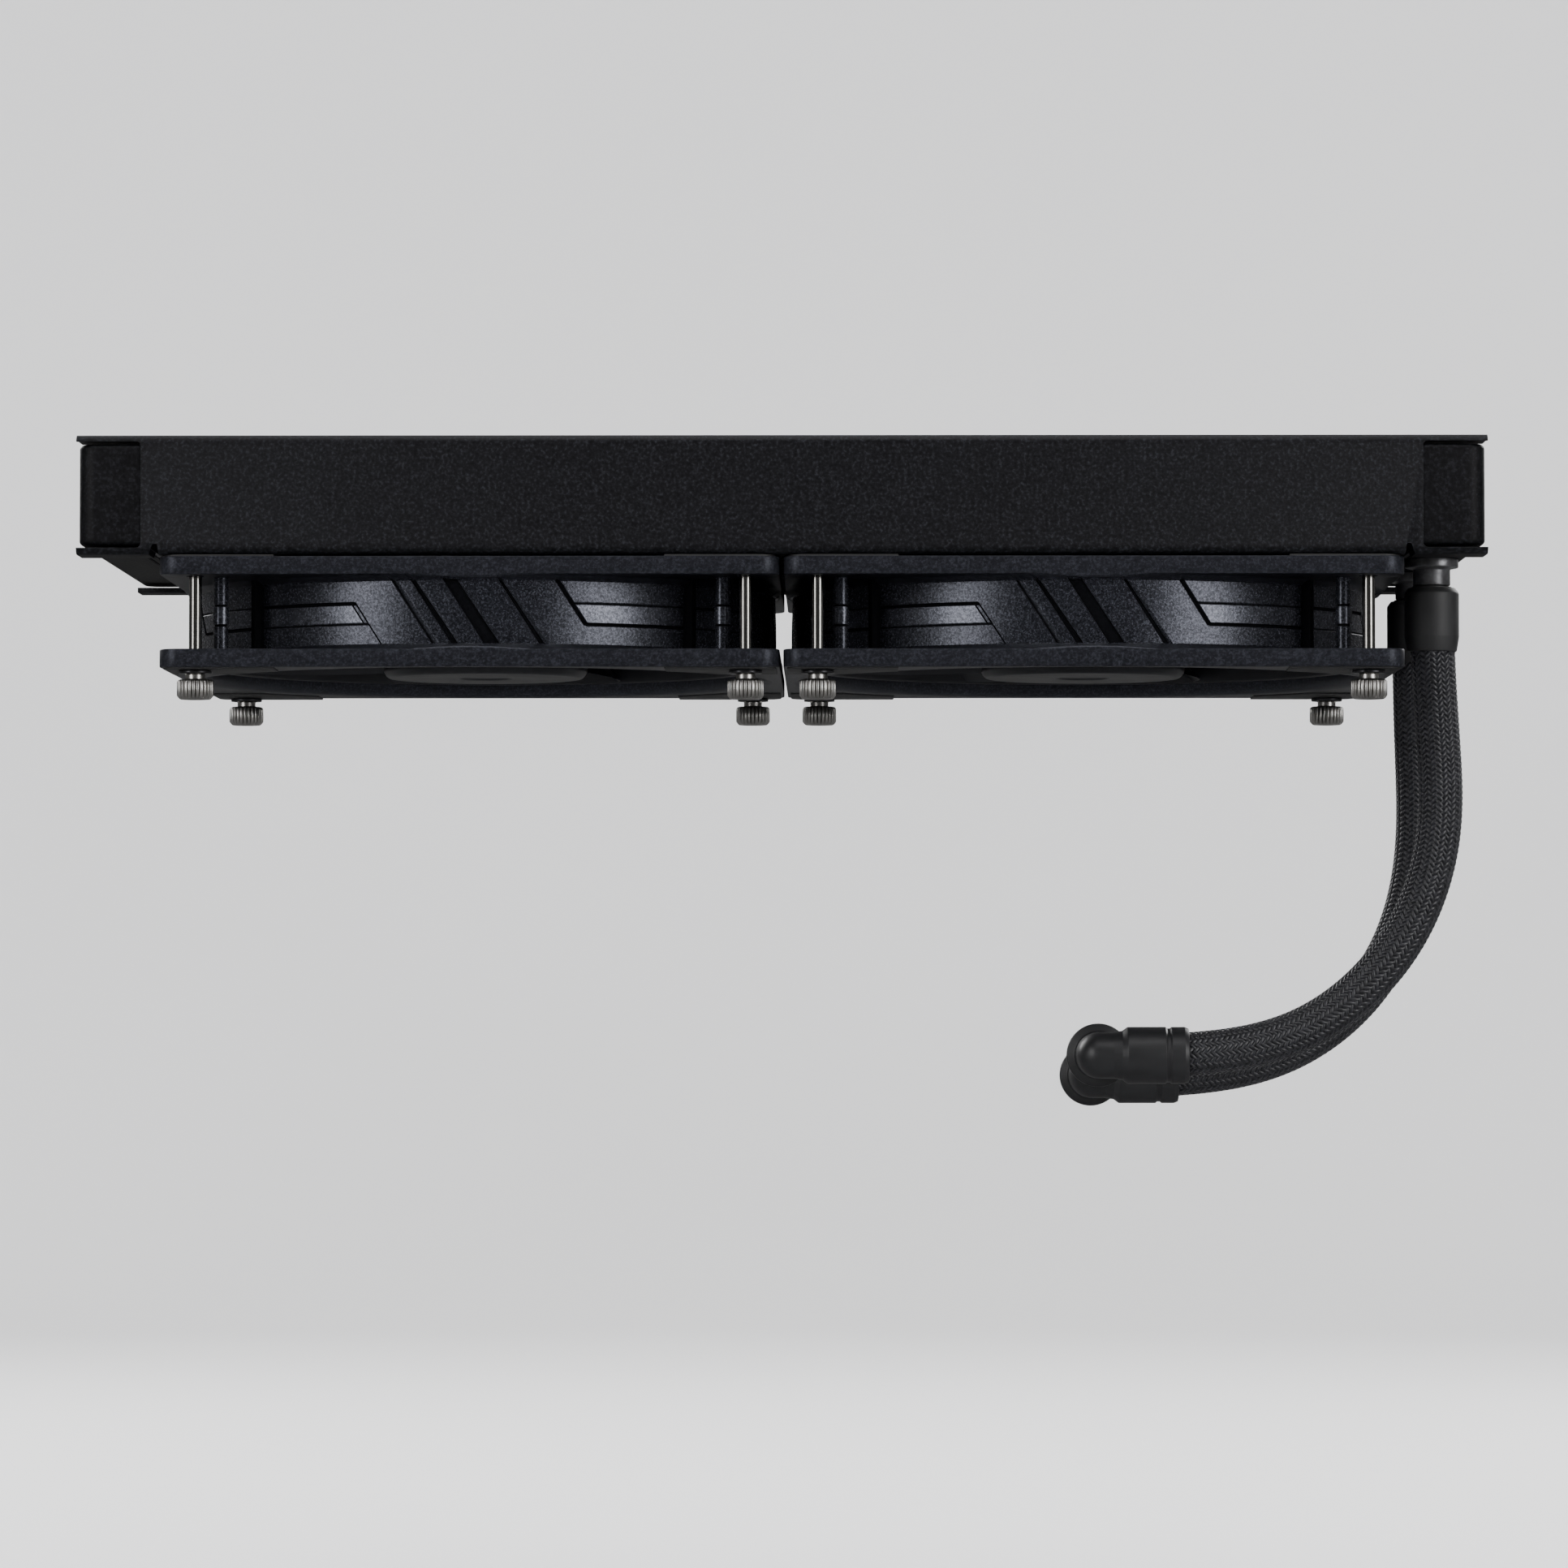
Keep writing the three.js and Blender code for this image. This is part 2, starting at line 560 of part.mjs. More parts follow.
// Laminated star with a winding around each of its poles.
function statorGeometry() {
  const { poles, bottom, top, hub, limbWidth, shoe, coil } = STATOR;
  const core = join([
    solid(cylinder(hub, bottom, top, 16)),
    ...Array.from({ length: poles }, (_, k) => {
      const limb = solid(block([0, -limbWidth / 2, bottom], [shoe.inner + 0.4, limbWidth / 2, top]));
      const reach = block([hub + 3, -shoe.halfWidth, bottom - 1], [shoe.outer + 1, shoe.halfWidth, top + 1]);
      const face = solid(ring(shoe.inner, shoe.outer, bottom, top, 16)).intersect(solid(reach));
      const winding = solid(block(
        [coil.start, -coil.width / 2, coil.bottom], [coil.end, coil.width / 2, coil.top]));
      const pole = geometryOf(join([limb, face, winding]));
      return solid(pole.rotateZ(Math.PI / 4 + (2 * Math.PI * k) / poles));
    }),
  ]);
  return geometryOf(core.subtract(solid(cylinder(MOTOR.tubeOuter + GAP / 3, bottom - 6, 0, 16))));
}

// The cable follows a strut, leaves through the barrel and ends at the connector.
function cableGeometry() {
  const path = new THREE.CatmullRomCurve3([
    polar(18.3, 80, -4),
    polar(42, 90, -4.05),
    polar(62, 97, -4.3),
    polar(67.3, CABLE_EXIT, -6),
    polar(70.4, 103, -7.6),
    polar(71.2, 112, -10.4),
    new THREE.Vector3(-38, 66.9, -12),
    new THREE.Vector3(-47.6, CONNECTOR.y, CONNECTOR.z),
  ], false, 'centripetal');
  const options = { steps: 16, curveSegments: 3, bevelEnabled: false, extrudePath: path };
  return geometryOf(solid(new THREE.ExtrudeGeometry(circleShape(CABLE_RADIUS), options)));
}

function connectorGeometry() {
  const { x, y, z, length, width, height, key, pins, pinPitch } = CONNECTOR;
  const housing = block([x - length, y - width / 2, z - height / 2], [x, y + width / 2, z + height / 2]);
  const ridge = block([x - length, y - width / 2 - key, z - 3], [x - 3, y, z - 1.5]);
  const sockets = Array.from({ length: pins }, (_, k) => {
    const level = z + (k - (pins - 1) / 2) * pinPitch;
    return solid(block([x - length - 1, y - 0.5, level - 0.5], [x - length + 7, y + 0.5, level + 0.5]));
  });
  return geometryOf(cut(join([solid(housing), solid(ridge)]), sockets));
}

function fanPieces(number) {
  const name = (label) => `fan_${number}_${label}`;
  const bearing = ring(
    SHAFT.radius + SHAFT.play, MOTOR.tubeInner - BEARING.play,
    MOTOR.tubeBottom + BEARING.foot, BEARING.top, 12);
  const magnet = ring(MAGNET.inner, HUB.radius - HUB.wall - GAP, MAGNET.bottom, MAGNET.top, 20);
  const board = ring(MOTOR.tubeOuter + BOARD.play, BOARD.outer, BOARD.bottom, BOARD.top, 20);
  const shaft = cylinder(SHAFT.radius, SHAFT.bottom, SHAFT.top, 12);
  return [
    piece(name('frame'), fanFrameGeometry(), 'fanPlastic'),
    piece(name('impeller'), impellerGeometry(), 'bladePlastic'),
    piece(name('shaft'), shaft, 'steel'),
    piece(name('rotor_magnet'), geometryOf(solid(magnet)), 'magnet'),
    piece(name('bearing'), geometryOf(solid(bearing)), 'bronze'),
    piece(name('stator'), statorGeometry(), 'copper'),
    piece(name('circuit_board'), geometryOf(solid(board)), 'board'),
    piece(name('cable'), cableGeometry(), 'rubber'),
    piece(name('connector'), connectorGeometry(), 'bladePlastic'),
  ];
}

// ---------------------------------------------------------------- thumbscrews

const PAD_BOTTOM = FAN_TOP - FAN.height - FAN.pad;
const WASHER_TOP = PAD_BOTTOM - WASHER.gap;
const WASHER_BOTTOM = WASHER_TOP - WASHER.height;
const NECK_TOP = WASHER_BOTTOM - SCREW.gap;

function thumbscrewGeometry() {
  const { shaftRadius, tip, neckRadius, neckHeight } = SCREW;
  const { headRadius, headHeight, domeHeight, teeth, toothDepth } = SCREW;
  const headTop = NECK_TOP - neckHeight;
  const headBottom = headTop - headHeight;
  const stem = solid(revolve([
    [0, headTop - 1], [neckRadius, headTop - 1], [neckRadius, NECK_TOP], [shaftRadius, NECK_TOP],
    [shaftRadius, tip - 0.5], [shaftRadius - 0.5, tip], [0, tip],
  ], 8));
  const knurl = new THREE.Shape();
  for (let i = 0; i < teeth * 2; i += 1) {
    const radius = headRadius - (i % 2 ? toothDepth : 0);
    const { x, y } = polar(radius, (180 * i) / teeth, 0);
    if (i === 0) knurl.moveTo(x, y);
    else knurl.lineTo(x, y);
  }
  knurl.closePath();
  const head = solid(extrude(knurl, headBottom + domeHeight / 2, headTop));
  const dome = solid(new THREE.CylinderGeometry(headRadius - 0.5, headRadius - 1.3, domeHeight, 12)
    .rotateX(Math.PI / 2)
    .translate(0, 0, headBottom + domeHeight / 2));
  return geometryOf(join([stem, head, dome]));
}

function screwPieces() {
  const thumbscrew = thumbscrewGeometry();
  const washer = geometryOf(solid(ring(WASHER.inner, WASHER.outer, WASHER_BOTTOM, WASHER_TOP, 12)));
  const pieces = [];
  for (const [side, label] of [[-1, 'front'], [1, 'rear']]) {
    screwPlaces().forEach((x, index) => {
      const screw = piece(`thumbscrew_${label}_${index + 1}`, thumbscrew, 'nickel');
      const spacer = piece(`washer_${label}_${index + 1}`, washer, 'washer');
      for (const mesh of [screw, spacer]) mesh.position.set(x, (side * HOLE_SPACING) / 2, 0);
      pieces.push(screw, spacer);
    });
  }
  return pieces;
}

// ---------------------------------------------------------------- assembly

const cooler = new THREE.Group();
cooler.position.y = RADIATOR.width / 2 - FLANGE_DEPTH / 2; // puts the origin on the front flange
cooler.add(...radiatorPieces(), ...hosePieces(), ...screwPieces());
FAN_CENTRES.forEach((centre, index) => {
  const fan = new THREE.Group();
  fan.position.set(centre, 0, FAN_TOP);
  fan.add(...fanPieces(index + 1));
  cooler.add(fan);
});

export default cooler;
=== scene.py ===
"""Visual model of a liquid cooling radiator with two fans and two braided hoses.

Lengths are millimetres and become metres when a mesh is made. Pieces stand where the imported
frame's boxes are. X runs along the radiator, Y from its front to its rear and Z up.
"""

import math

import bmesh
import bpy
import numpy as np
from mathutils import Matrix, Vector


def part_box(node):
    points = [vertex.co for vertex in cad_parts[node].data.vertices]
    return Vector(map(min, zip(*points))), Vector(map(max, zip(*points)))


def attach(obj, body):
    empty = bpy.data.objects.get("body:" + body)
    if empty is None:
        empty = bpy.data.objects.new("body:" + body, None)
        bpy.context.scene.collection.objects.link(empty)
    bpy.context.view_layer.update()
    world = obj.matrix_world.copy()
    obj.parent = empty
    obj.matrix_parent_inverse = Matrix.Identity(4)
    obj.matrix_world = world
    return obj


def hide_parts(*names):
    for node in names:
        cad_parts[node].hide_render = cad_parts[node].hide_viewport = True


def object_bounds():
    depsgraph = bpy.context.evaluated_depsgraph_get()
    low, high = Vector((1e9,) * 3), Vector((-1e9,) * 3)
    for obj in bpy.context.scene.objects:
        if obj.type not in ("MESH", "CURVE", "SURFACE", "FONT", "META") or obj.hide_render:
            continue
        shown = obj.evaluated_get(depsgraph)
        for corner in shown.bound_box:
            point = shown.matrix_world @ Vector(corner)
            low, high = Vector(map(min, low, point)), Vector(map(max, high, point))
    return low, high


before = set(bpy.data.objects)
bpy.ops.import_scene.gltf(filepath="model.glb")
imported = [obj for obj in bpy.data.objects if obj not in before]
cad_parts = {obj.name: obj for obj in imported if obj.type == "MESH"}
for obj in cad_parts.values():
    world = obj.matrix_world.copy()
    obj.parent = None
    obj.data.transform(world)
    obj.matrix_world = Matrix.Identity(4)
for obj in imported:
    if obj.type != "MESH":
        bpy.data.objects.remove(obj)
CAD_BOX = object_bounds()
MM = 0.001
ROOT = "radiator"
LABELS = ((-1, "front"), (1, "rear"))


# ------------------------------------------------------------------ measures from the frame


def box_mm(node):
    low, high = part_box(node)
    return np.array(low) / MM, np.array(high) / MM


def middle_of(node):
    low, high = box_mm(node)
    return (low + high) / 2


PLATE_LOW, PLATE_HIGH = box_mm("side_plate_front")
REAR_HIGH = box_mm("side_plate_rear")[1]
MIDDLE_Y = (PLATE_LOW[1] + REAR_HIGH[1]) / 2
TOP = PLATE_HIGH[2]
BOTTOM = PLATE_LOW[2]
HALF_LENGTH = PLATE_HIGH[0]
HALF_WIDTH = MIDDLE_Y - PLATE_LOW[1]
FLANGE_DEPTH = PLATE_HIGH[1] - PLATE_LOW[1]
PAD_HEIGHT = 0.38
FAN_HEIGHT = 25.0
HALF_HOLES = 62.25  # half the fan's screw spacing


def fan_origin(number):
    """The middle of a fan frame's upper face."""
    node = f"fan_{number}_frame"
    return np.array([*middle_of(node)[:2], box_mm(node)[1][2] - PAD_HEIGHT])


# ------------------------------------------------------------------ mesh helpers


def grid_faces(rows, columns, close_rows=False):
    """Quads between the points of a grid whose columns close in a ring, numbered row by row."""
    i = np.arange(rows if close_rows else rows - 1)[:, None]
    j = np.arange(columns)[None, :]
    next_row = (i + 1) % rows
    next_column = (j + 1) % columns
    quads = np.stack(np.broadcast_arrays(
        i * columns + j, i * columns + next_column,
        next_row * columns + next_column, next_row * columns + j), axis=-1)
    return quads.reshape(-1, 4).tolist()


def capped_faces(rows, columns):
    """The faces of a bar made of rings: the quads between them, and a cap on each end."""
    caps = [list(reversed(range(columns))), [(rows - 1) * columns + k for k in range(columns)]]
    return grid_faces(rows, columns) + caps


def fillet(points, radius, steps=4, closed=True):
    """A polyline with its corners rounded. radius is one number or one for each point."""
    points = [np.array(p, float) for p in points]
    radii = radius if isinstance(radius, (list, tuple)) else [radius] * len(points)
    out = []
    for k, point in enumerate(points):
        at_end = not closed and k in (0, len(points) - 1)
        if at_end or radii[k] <= 0:
            out.append(point)
            continue
        back = points[k - 1] - point
        ahead = points[(k + 1) % len(points)] - point
        back_length, ahead_length = np.linalg.norm(back), np.linalg.norm(ahead)
        back, ahead = back / back_length, ahead / ahead_length
        half = math.acos(np.clip(back @ ahead, -1, 1)) / 2
        reach = radii[k] / max(math.tan(half), 1e-6)
        reach = min(reach, 0.49 * back_length, 0.49 * ahead_length)
        size = reach * math.tan(half)
        centre = point + (back + ahead) / np.linalg.norm(back + ahead) * size / math.sin(half)
        start = point + back * reach - centre
        end = point + ahead * reach - centre
        turn = math.acos(np.clip(start @ end / (size * size), -1, 1))
        for s in range(steps + 1):
            t = s / steps
            weight_start = math.sin((1 - t) * turn) / math.sin(turn)
            weight_end = math.sin(t * turn) / math.sin(turn)
            out.append(centre + start * weight_start + end * weight_end)
    return np.array(out)


def lathe(profile, segments, centre=(0, 0, 0), closed=False, ripple=None):
    """Turns [radius, z] points about the vertical through centre. ripple(angle, row) scales the
    radius."""
    profile = np.array(profile, float)
    angle = np.linspace(0, 2 * math.pi, segments, endpoint=False)
    radius = np.repeat(profile[:, :1], segments, axis=1)
    if ripple:
        radius = radius * np.array([ripple(angle, row) for row in range(len(profile))])
    points = np.stack([
        radius * np.cos(angle) + centre[0],
        radius * np.sin(angle) + centre[1],
        np.repeat(profile[:, 1:], segments, axis=1) + centre[2]], axis=-1)
    return points.reshape(-1, 3), grid_faces(len(profile), segments, closed)


def inset(outline, distance):
    """A counter-clockwise outline moved inwards."""
    ahead = np.roll(outline, -1, axis=0) - outline
    ahead /= np.maximum(np.linalg.norm(ahead, axis=1, keepdims=True), 1e-9)
    back = np.roll(ahead, 1, axis=0)
    normal = np.stack([-(ahead + back)[:, 1], (ahead + back)[:, 0]], axis=1)
    length = np.maximum(np.linalg.norm(normal, axis=1, keepdims=True), 1e-9)
    return outline + normal / length * distance * np.minimum(2 / length, 2)


def prism(outline, bottom, top, bevel=0.0, steps=2):
    """An outline raised from bottom to top, with rounded upper and lower edges."""
    outline = np.array(outline, float)
    layers = []
    if bevel:
        for s in range(steps + 1):
            a = math.pi / 2 * s / steps
            layers.append((bevel * (1 - math.sin(a)), bottom + bevel * (1 - math.cos(a))))
        layers += [(i, top + bottom - z) for i, z in reversed(layers)]
    else:
        layers = [(0, bottom), (0, top)]
    count = len(outline)
    rows = [np.column_stack([inset(outline, i), np.full(count, z)]) for i, z in layers]
    return np.concatenate(rows), capped_faces(len(layers), count)


def rectangle(low, high, radius, steps=5):
    corners = [(low[0], low[1]), (high[0], low[1]), (high[0], high[1]), (low[0], high[1])]
    return fillet(corners, radius, steps)


def circle(radius, segments, centre=(0, 0)):
    angle = np.linspace(0, 2 * math.pi, segments, endpoint=False)
    return np.column_stack([radius * np.cos(angle) + centre[0], radius * np.sin(angle) + centre[1]])


NO_PATH_STARTS_THIS_WAY = (0.31, 0.89, 0.17)


def path_frames(path):
    """Two unit vectors across a path at each of its points, without twist."""
    tangent = np.gradient(path, axis=0)
    tangent /= np.linalg.norm(tangent, axis=1, keepdims=True)
    side = np.cross(tangent[0], NO_PATH_STARTS_THIS_WAY)
    sides = []
    for t in tangent:
        side = side - t * (side @ t)
        side = side / np.linalg.norm(side)
        sides.append(side)
    sides = np.array(sides)
    return sides, np.cross(tangent, sides)


def tube(path, radii, segments):
    """A round bar along a path, with a cap on each end. radii is one number or one per point."""
    across, up = path_frames(path)
    radii = np.broadcast_to(np.asarray(radii, float), (len(path),))
    angle = np.linspace(0, 2 * math.pi, segments, endpoint=False)
    rings = path[:, None] + radii[:, None, None] * (
        np.cos(angle)[None, :, None] * across[:, None] + np.sin(angle)[None, :, None] * up[:, None])
    return rings.reshape(-1, 3), capped_faces(len(path), segments)


def spline(knots, spacing):
    """Centripetal curve through the knots, sampled evenly."""
    steps = 60  # between two knots, before the even sampling
    knots = [np.array(k, float) for k in knots]
    knots = [2 * knots[0] - knots[1]] + knots + [2 * knots[-1] - knots[-2]]
    dense = []
    for a, b, c, d in zip(knots, knots[1:], knots[2:], knots[3:]):
        t1, t2, t3 = (math.sqrt(np.linalg.norm(q - p)) for p, q in ((a, b), (b, c), (c, d)))
        slope_b = ((b - a) / t1 - (c - a) / (t1 + t2) + (c - b) / t2) * t2
        slope_c = ((c - b) / t2 - (d - b) / (t2 + t3) + (d - c) / t3) * t2
        for t in np.linspace(0, 1, steps, endpoint=False):
            dense.append(
                (2 * t**3 - 3 * t**2 + 1) * b + (t**3 - 2 * t**2 + t) * slope_b
                + (3 * t**2 - 2 * t**3) * c + (t**3 - t**2) * slope_c)
    dense = np.array(dense + [knots[-2]])
    length = np.concatenate([[0], np.cumsum(np.linalg.norm(np.diff(dense, axis=0), axis=1))])
    at = np.linspace(0, length[-1], max(2, int(length[-1] / spacing) + 1))
    return np.column_stack([np.interp(at, length, dense[:, k]) for k in range(3)])


def moved(part, shift):
    points, faces = part
    return points + np.asarray(shift, float), faces


def turned(part, angle, axis=2):
    """A part turned about a coordinate axis through the origin."""
    points, faces = part
    c, s = math.cos(angle), math.sin(angle)
    a, b = [(1, 2), (2, 0), (0, 1)][axis]
    out = points.copy()
    out[:, a] = points[:, a] * c - points[:, b] * s
    out[:, b] = points[:, a] * s + points[:, b] * c
    return out, faces


def joined(parts):
    points, faces, base = [], [], 0
    for part_points, part_faces in parts:
        points.append(part_points)
        faces += [[i + base for i in face] for face in part_faces]
        base += len(part_points)
    return np.concatenate(points), faces


WELD = 1e-7  # points closer than this, in metres, are one


def linked(name, data):
    obj = bpy.data.objects.new(name, data)
    bpy.context.scene.collection.objects.link(obj)
    return obj


def raw_object(name, part):
    """A mesh object in metres, with poles welded and faces pointing out."""
    points, faces = part
    mesh = bpy.data.meshes.new(name)
    mesh.from_pydata((np.asarray(points) * MM).tolist(), [], faces)
    work = bmesh.new()
    work.from_mesh(mesh)
    bmesh.ops.remove_doubles(work, verts=work.verts, dist=WELD)
    bmesh.ops.recalc_face_normals(work, faces=work.faces)
    work.to_mesh(mesh)
    work.free()
    return linked(name, mesh)


def bake(obj):
    """Applies the object's modifiers."""
    graph = bpy.context.evaluated_depsgraph_get()
    mesh = bpy.data.meshes.new_from_object(obj.evaluated_get(graph))
    obj.modifiers.clear()
    obj.data = mesh


def carve(obj, cutter_parts):
    """Cuts closed shapes out of an object."""
    cutter = raw_object("cutter", joined(cutter_parts))
    modifier = obj.modifiers.new("cut", "BOOLEAN")
    modifier.operation = "DIFFERENCE"
    modifier.solver = "EXACT"
    modifier.use_self = True
    modifier.object = cutter
    bake(obj)
    bpy.data.objects.remove(cutter)


def merge(obj, other):
    """Adds the other object's mesh to the object's own, without cutting, and removes the other."""
    work = bmesh.new()
    work.from_mesh(obj.data)
    work.from_mesh(other.data)
    work.to_mesh(obj.data)
    work.free()
    bpy.data.objects.remove(other)


def soften(obj, width):
    """Rounds the object's sharp edges."""
    modifier = obj.modifiers.new("edges", "BEVEL")
    modifier.limit_method = "ANGLE"
    modifier.angle_limit = math.radians(35)
    modifier.width = width * MM
    modifier.segments = 2
    modifier.use_clamp_overlap = True
    bake(obj)


def placed_points(obj):
    """The object's points, in millimetres."""
    return np.array([v.co for v in obj.data.vertices]) / MM


def place_points(obj, points):
    obj.data.vertices.foreach_set("co", (points * MM).astype(np.float32).ravel())
    obj.data.update()


def shade_smooth(mesh):
    mesh.polygons.foreach_set("use_smooth", [True] * len(mesh.polygons))


def finished(obj, material, body, replaces=(), slot=None, sharp=32):
    """Shades the object, gives it its material and puts it on its body."""
    mesh = obj.data
    shade_smooth(mesh)
    mesh.set_sharp_from_angle(angle=math.radians(sharp))
    mesh.materials.clear()
    mesh.materials.append(material)
    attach(obj, body)
    if replaces:
        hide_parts(*replaces)


def piece(name, parts, material, body, replaces=(), slot=None, sharp=32):
    finished(raw_object(name, joined(parts)), material, body, replaces, slot, sharp)


# ------------------------------------------------------------------ materials


class Nodes:
    """A short way to write a node tree."""

    def __init__(self, name):
        self.material = bpy.data.materials.new(name)
        self.material.use_nodes = True
        self.tree = self.material.node_tree
        self.shader = self.tree.nodes["Principled BSDF"]
        self.place = self.add("ShaderNodeTexCoord").outputs["Object"]

    def add(self, kind, inputs=None, **settings):
        node = self.tree.nodes.new(kind)
        for key, value in settings.items():
            setattr(node, key, value)
        for key, value in (inputs or {}).items():
            self.set(node, key, value)
        return node

    def set(self, node, key, value):
        if isinstance(value, bpy.types.NodeSocket):
            self.tree.links.new(value, node.inputs[key])
        else:
            node.inputs[key].default_value = value

    def noise(self, scale, detail=2.0, roughness=0.5, place=None):
        """Noise whose features are about 1/scale metres across."""
        node = self.add("ShaderNodeTexNoise", {
            "Vector": place or self.place, "Scale": scale, "Detail": detail, "Roughness": roughness})
        return node.outputs["Fac"]

    def ramp(self, factor, stops):
        """Maps a factor to colours or greys at the given places."""
        node = self.add("ShaderNodeValToRGB", {"Fac": factor})
        elements = node.color_ramp.elements
        while len(elements) < len(stops):
            elements.new(0.5)
        for element, (at, value) in zip(elements, stops):
            element.position = at
            colour = value if isinstance(value, tuple) else (value,) * 3
            element.color = (*colour, 1.0)
        return node.outputs["Color"]

    def mix(self, factor, a, b):
        node = self.add("ShaderNodeMix", data_type="RGBA")
        self.set(node, 0, factor)
        self.set(node, 6, (*a, 1.0) if isinstance(a, tuple) else a)
        self.set(node, 7, (*b, 1.0) if isinstance(b, tuple) else b)
        return node.outputs[2]

    def span(self, factor, low, high):
        """Maps 0..1 to low..high."""
        node = self.add("ShaderNodeMapRange", {"Value": factor, "To Min": low, "To Max": high})
        return node.outputs[0]

    def bump(self, height, strength, distance_mm, normal=None):
        node = self.add("ShaderNodeBump", {
            "Height": height, "Strength": strength, "Distance": distance_mm * MM})
        if normal:
            self.set(node, "Normal", normal)
        return node.outputs["Normal"]

    def stretched(self, x, y, z):
        """Object coordinates scaled along the axes."""
        node = self.add("ShaderNodeMapping", {"Vector": self.place, "Scale": (x, y, z)})
        return node.outputs["Vector"]

    def finish(self, **inputs):
        for key, value in inputs.items():
            self.set(self.shader, key.replace("_", " "), value)
        return self.material


def shade(colour, factor):
    return tuple(c * factor for c in colour)


def powder_coat(name, base):
    """Dark charcoal coat with a fine, slightly pebbled grain."""
    n = Nodes(name)
    grain = n.noise(1450, 3, 0.6)
    cloud = n.noise(35, 2)
    speckle = n.ramp(grain, [(0.35, shade(base, 0.3)), (0.53, base), (0.69, shade(base, 3.5))])
    clouded = n.ramp(cloud, [(0.3, shade(base, 0.85)), (0.7, shade(base, 1.15))])
    colour = n.mix(0.25, speckle, clouded)
    pebbles = n.noise(1000, 2, 0.55)
    normal = n.bump(grain, 0.6, 0.06, n.bump(pebbles, 0.5, 0.1))
    return n.finish(
        Base_Color=colour, Roughness=n.span(grain, 0.42, 0.64), Normal=normal, Specular_IOR_Level=0.1)


def eroded_plastic():
    """Grey moulding whose tool was spark-eroded: a sandy surface that sparkles on the barrel and
    most on its panels (the gloss value). Its grooves and corner ribs get painted shade, near black."""
    n = Nodes("fan_frame_plastic")
    base = (0.0062, 0.0065, 0.0083)
    grain = n.noise(1900, 3, 0.75)
    cloud = n.noise(60, 2)
    speckle = n.ramp(grain, [(0.36, shade(base, 0.4)), (0.5, base), (0.64, shade(base, 3.0))])
    colour = n.mix(0.2, speckle, n.ramp(cloud, [(0.3, shade(base, 0.86)), (0.7, shade(base, 1.12))]))
    painted_shade = n.add("ShaderNodeAttribute", attribute_name="painted_shade").outputs["Fac"]
    gloss = n.add("ShaderNodeAttribute", attribute_name="gloss").outputs["Fac"]
    # painted shade: the colour goes near black where the vertex value marks shade in grooves and on ribs
    colour = n.mix(painted_shade, colour, (0.0015, 0.0015, 0.0019))
    on_barrel = n.ramp(gloss, [(0.0, 0.0), (0.5, 1.0)])
    sparkle = n.mix(on_barrel, (1.0, 1.0, 1.0), n.ramp(grain, [(0.38, 0.45), (0.62, 1.4)]))
    level = n.mix(painted_shade, n.ramp(gloss, [(0.0, 0.2), (0.5, 0.37), (1.0, 0.7)]), (0.08, 0.08, 0.08))
    level = n.add("ShaderNodeMath", {0: level, 1: sparkle}, operation="MULTIPLY").outputs[0]
    rough = n.mix(on_barrel, n.span(grain, 0.32, 0.46), n.span(grain, 0.19, 0.33))
    rough = n.mix(painted_shade, rough, (0.9, 0.9, 0.9))
    normal = n.bump(grain, n.ramp(gloss, [(0.0, 0.32), (0.5, 0.46), (1.0, 0.4)]), 0.07)
    return n.finish(
        Base_Color=colour, Roughness=rough, Normal=normal, Specular_IOR_Level=level,
        Specular_Tint=(0.82, 0.85, 1.0, 1.0))


def bright_steel():
    """Ground steel rod with faint rings from grinding."""
    n = Nodes("steel_pin")
    rings = n.noise(60, 3, place=n.stretched(0.3, 0.3, 60))
    colour = n.ramp(rings, [(0.3, (0.165, 0.16, 0.15)), (0.7, (0.21, 0.203, 0.192))])
    return n.finish(
        Base_Color=colour, Metallic=1.0, Roughness=n.span(rings, 0.1, 0.15),
        Normal=n.bump(rings, 0.04, 0.005))


def patchy(name, patches, stops, roughness, grain, stretch=None, **inputs):
    """A material whose colour and roughness vary in patches under a fine grain. patches are the
    patches' noise settings; grain holds its own noise settings, strength and depth."""
    n = Nodes(name)
    patch = n.noise(*patches, place=n.stretched(*stretch) if stretch else None)
    fine, strength, depth = grain
    return n.finish(
        Base_Color=n.ramp(patch, stops), Roughness=n.span(patch, *roughness),
        Normal=n.bump(n.noise(*fine), strength, depth), **inputs)


def satin_plastic(name, base, roughness, level=0.4):
    """Smooth moulded plastic with faint flow marks."""
    return patchy(
        name, (90, 4), [(0.3, shade(base, 0.8)), (0.7, shade(base, 1.25))],
        (roughness - 0.06, roughness + 0.1), ((2600, 2), 0.12, 0.03), (1, 1, 3),
        Specular_IOR_Level=level)


def dark_metal(name, base, roughness):
    return patchy(
        name, (500, 3, 0.6), [(0.3, shade(base, 0.75)), (0.7, shade(base, 1.3))],
        (roughness - 0.08, roughness + 0.1), ((2500, 2), 0.15, 0.02), Metallic=0.85)


def winding():
    n = Nodes("winding")
    wires = n.noise(900, 2, place=n.stretched(1, 1, 8))
    colour = n.ramp(wires, [(0.35, (0.2, 0.07, 0.03)), (0.65, (0.55, 0.24, 0.1))])
    return n.finish(
        Base_Color=colour, Metallic=0.8, Roughness=0.38, Normal=n.bump(wires, 0.4, 0.08))


def board():
    n = Nodes("board")
    traces = n.add("ShaderNodeTexVoronoi", {"Vector": n.place, "Scale": 420.0}).outputs["Distance"]
    colour = n.ramp(traces, [(0.1, (0.012, 0.05, 0.024)), (0.5, (0.02, 0.09, 0.04))])
    return n.finish(Base_Color=colour, Roughness=0.42, Normal=n.bump(traces, 0.1, 0.03))


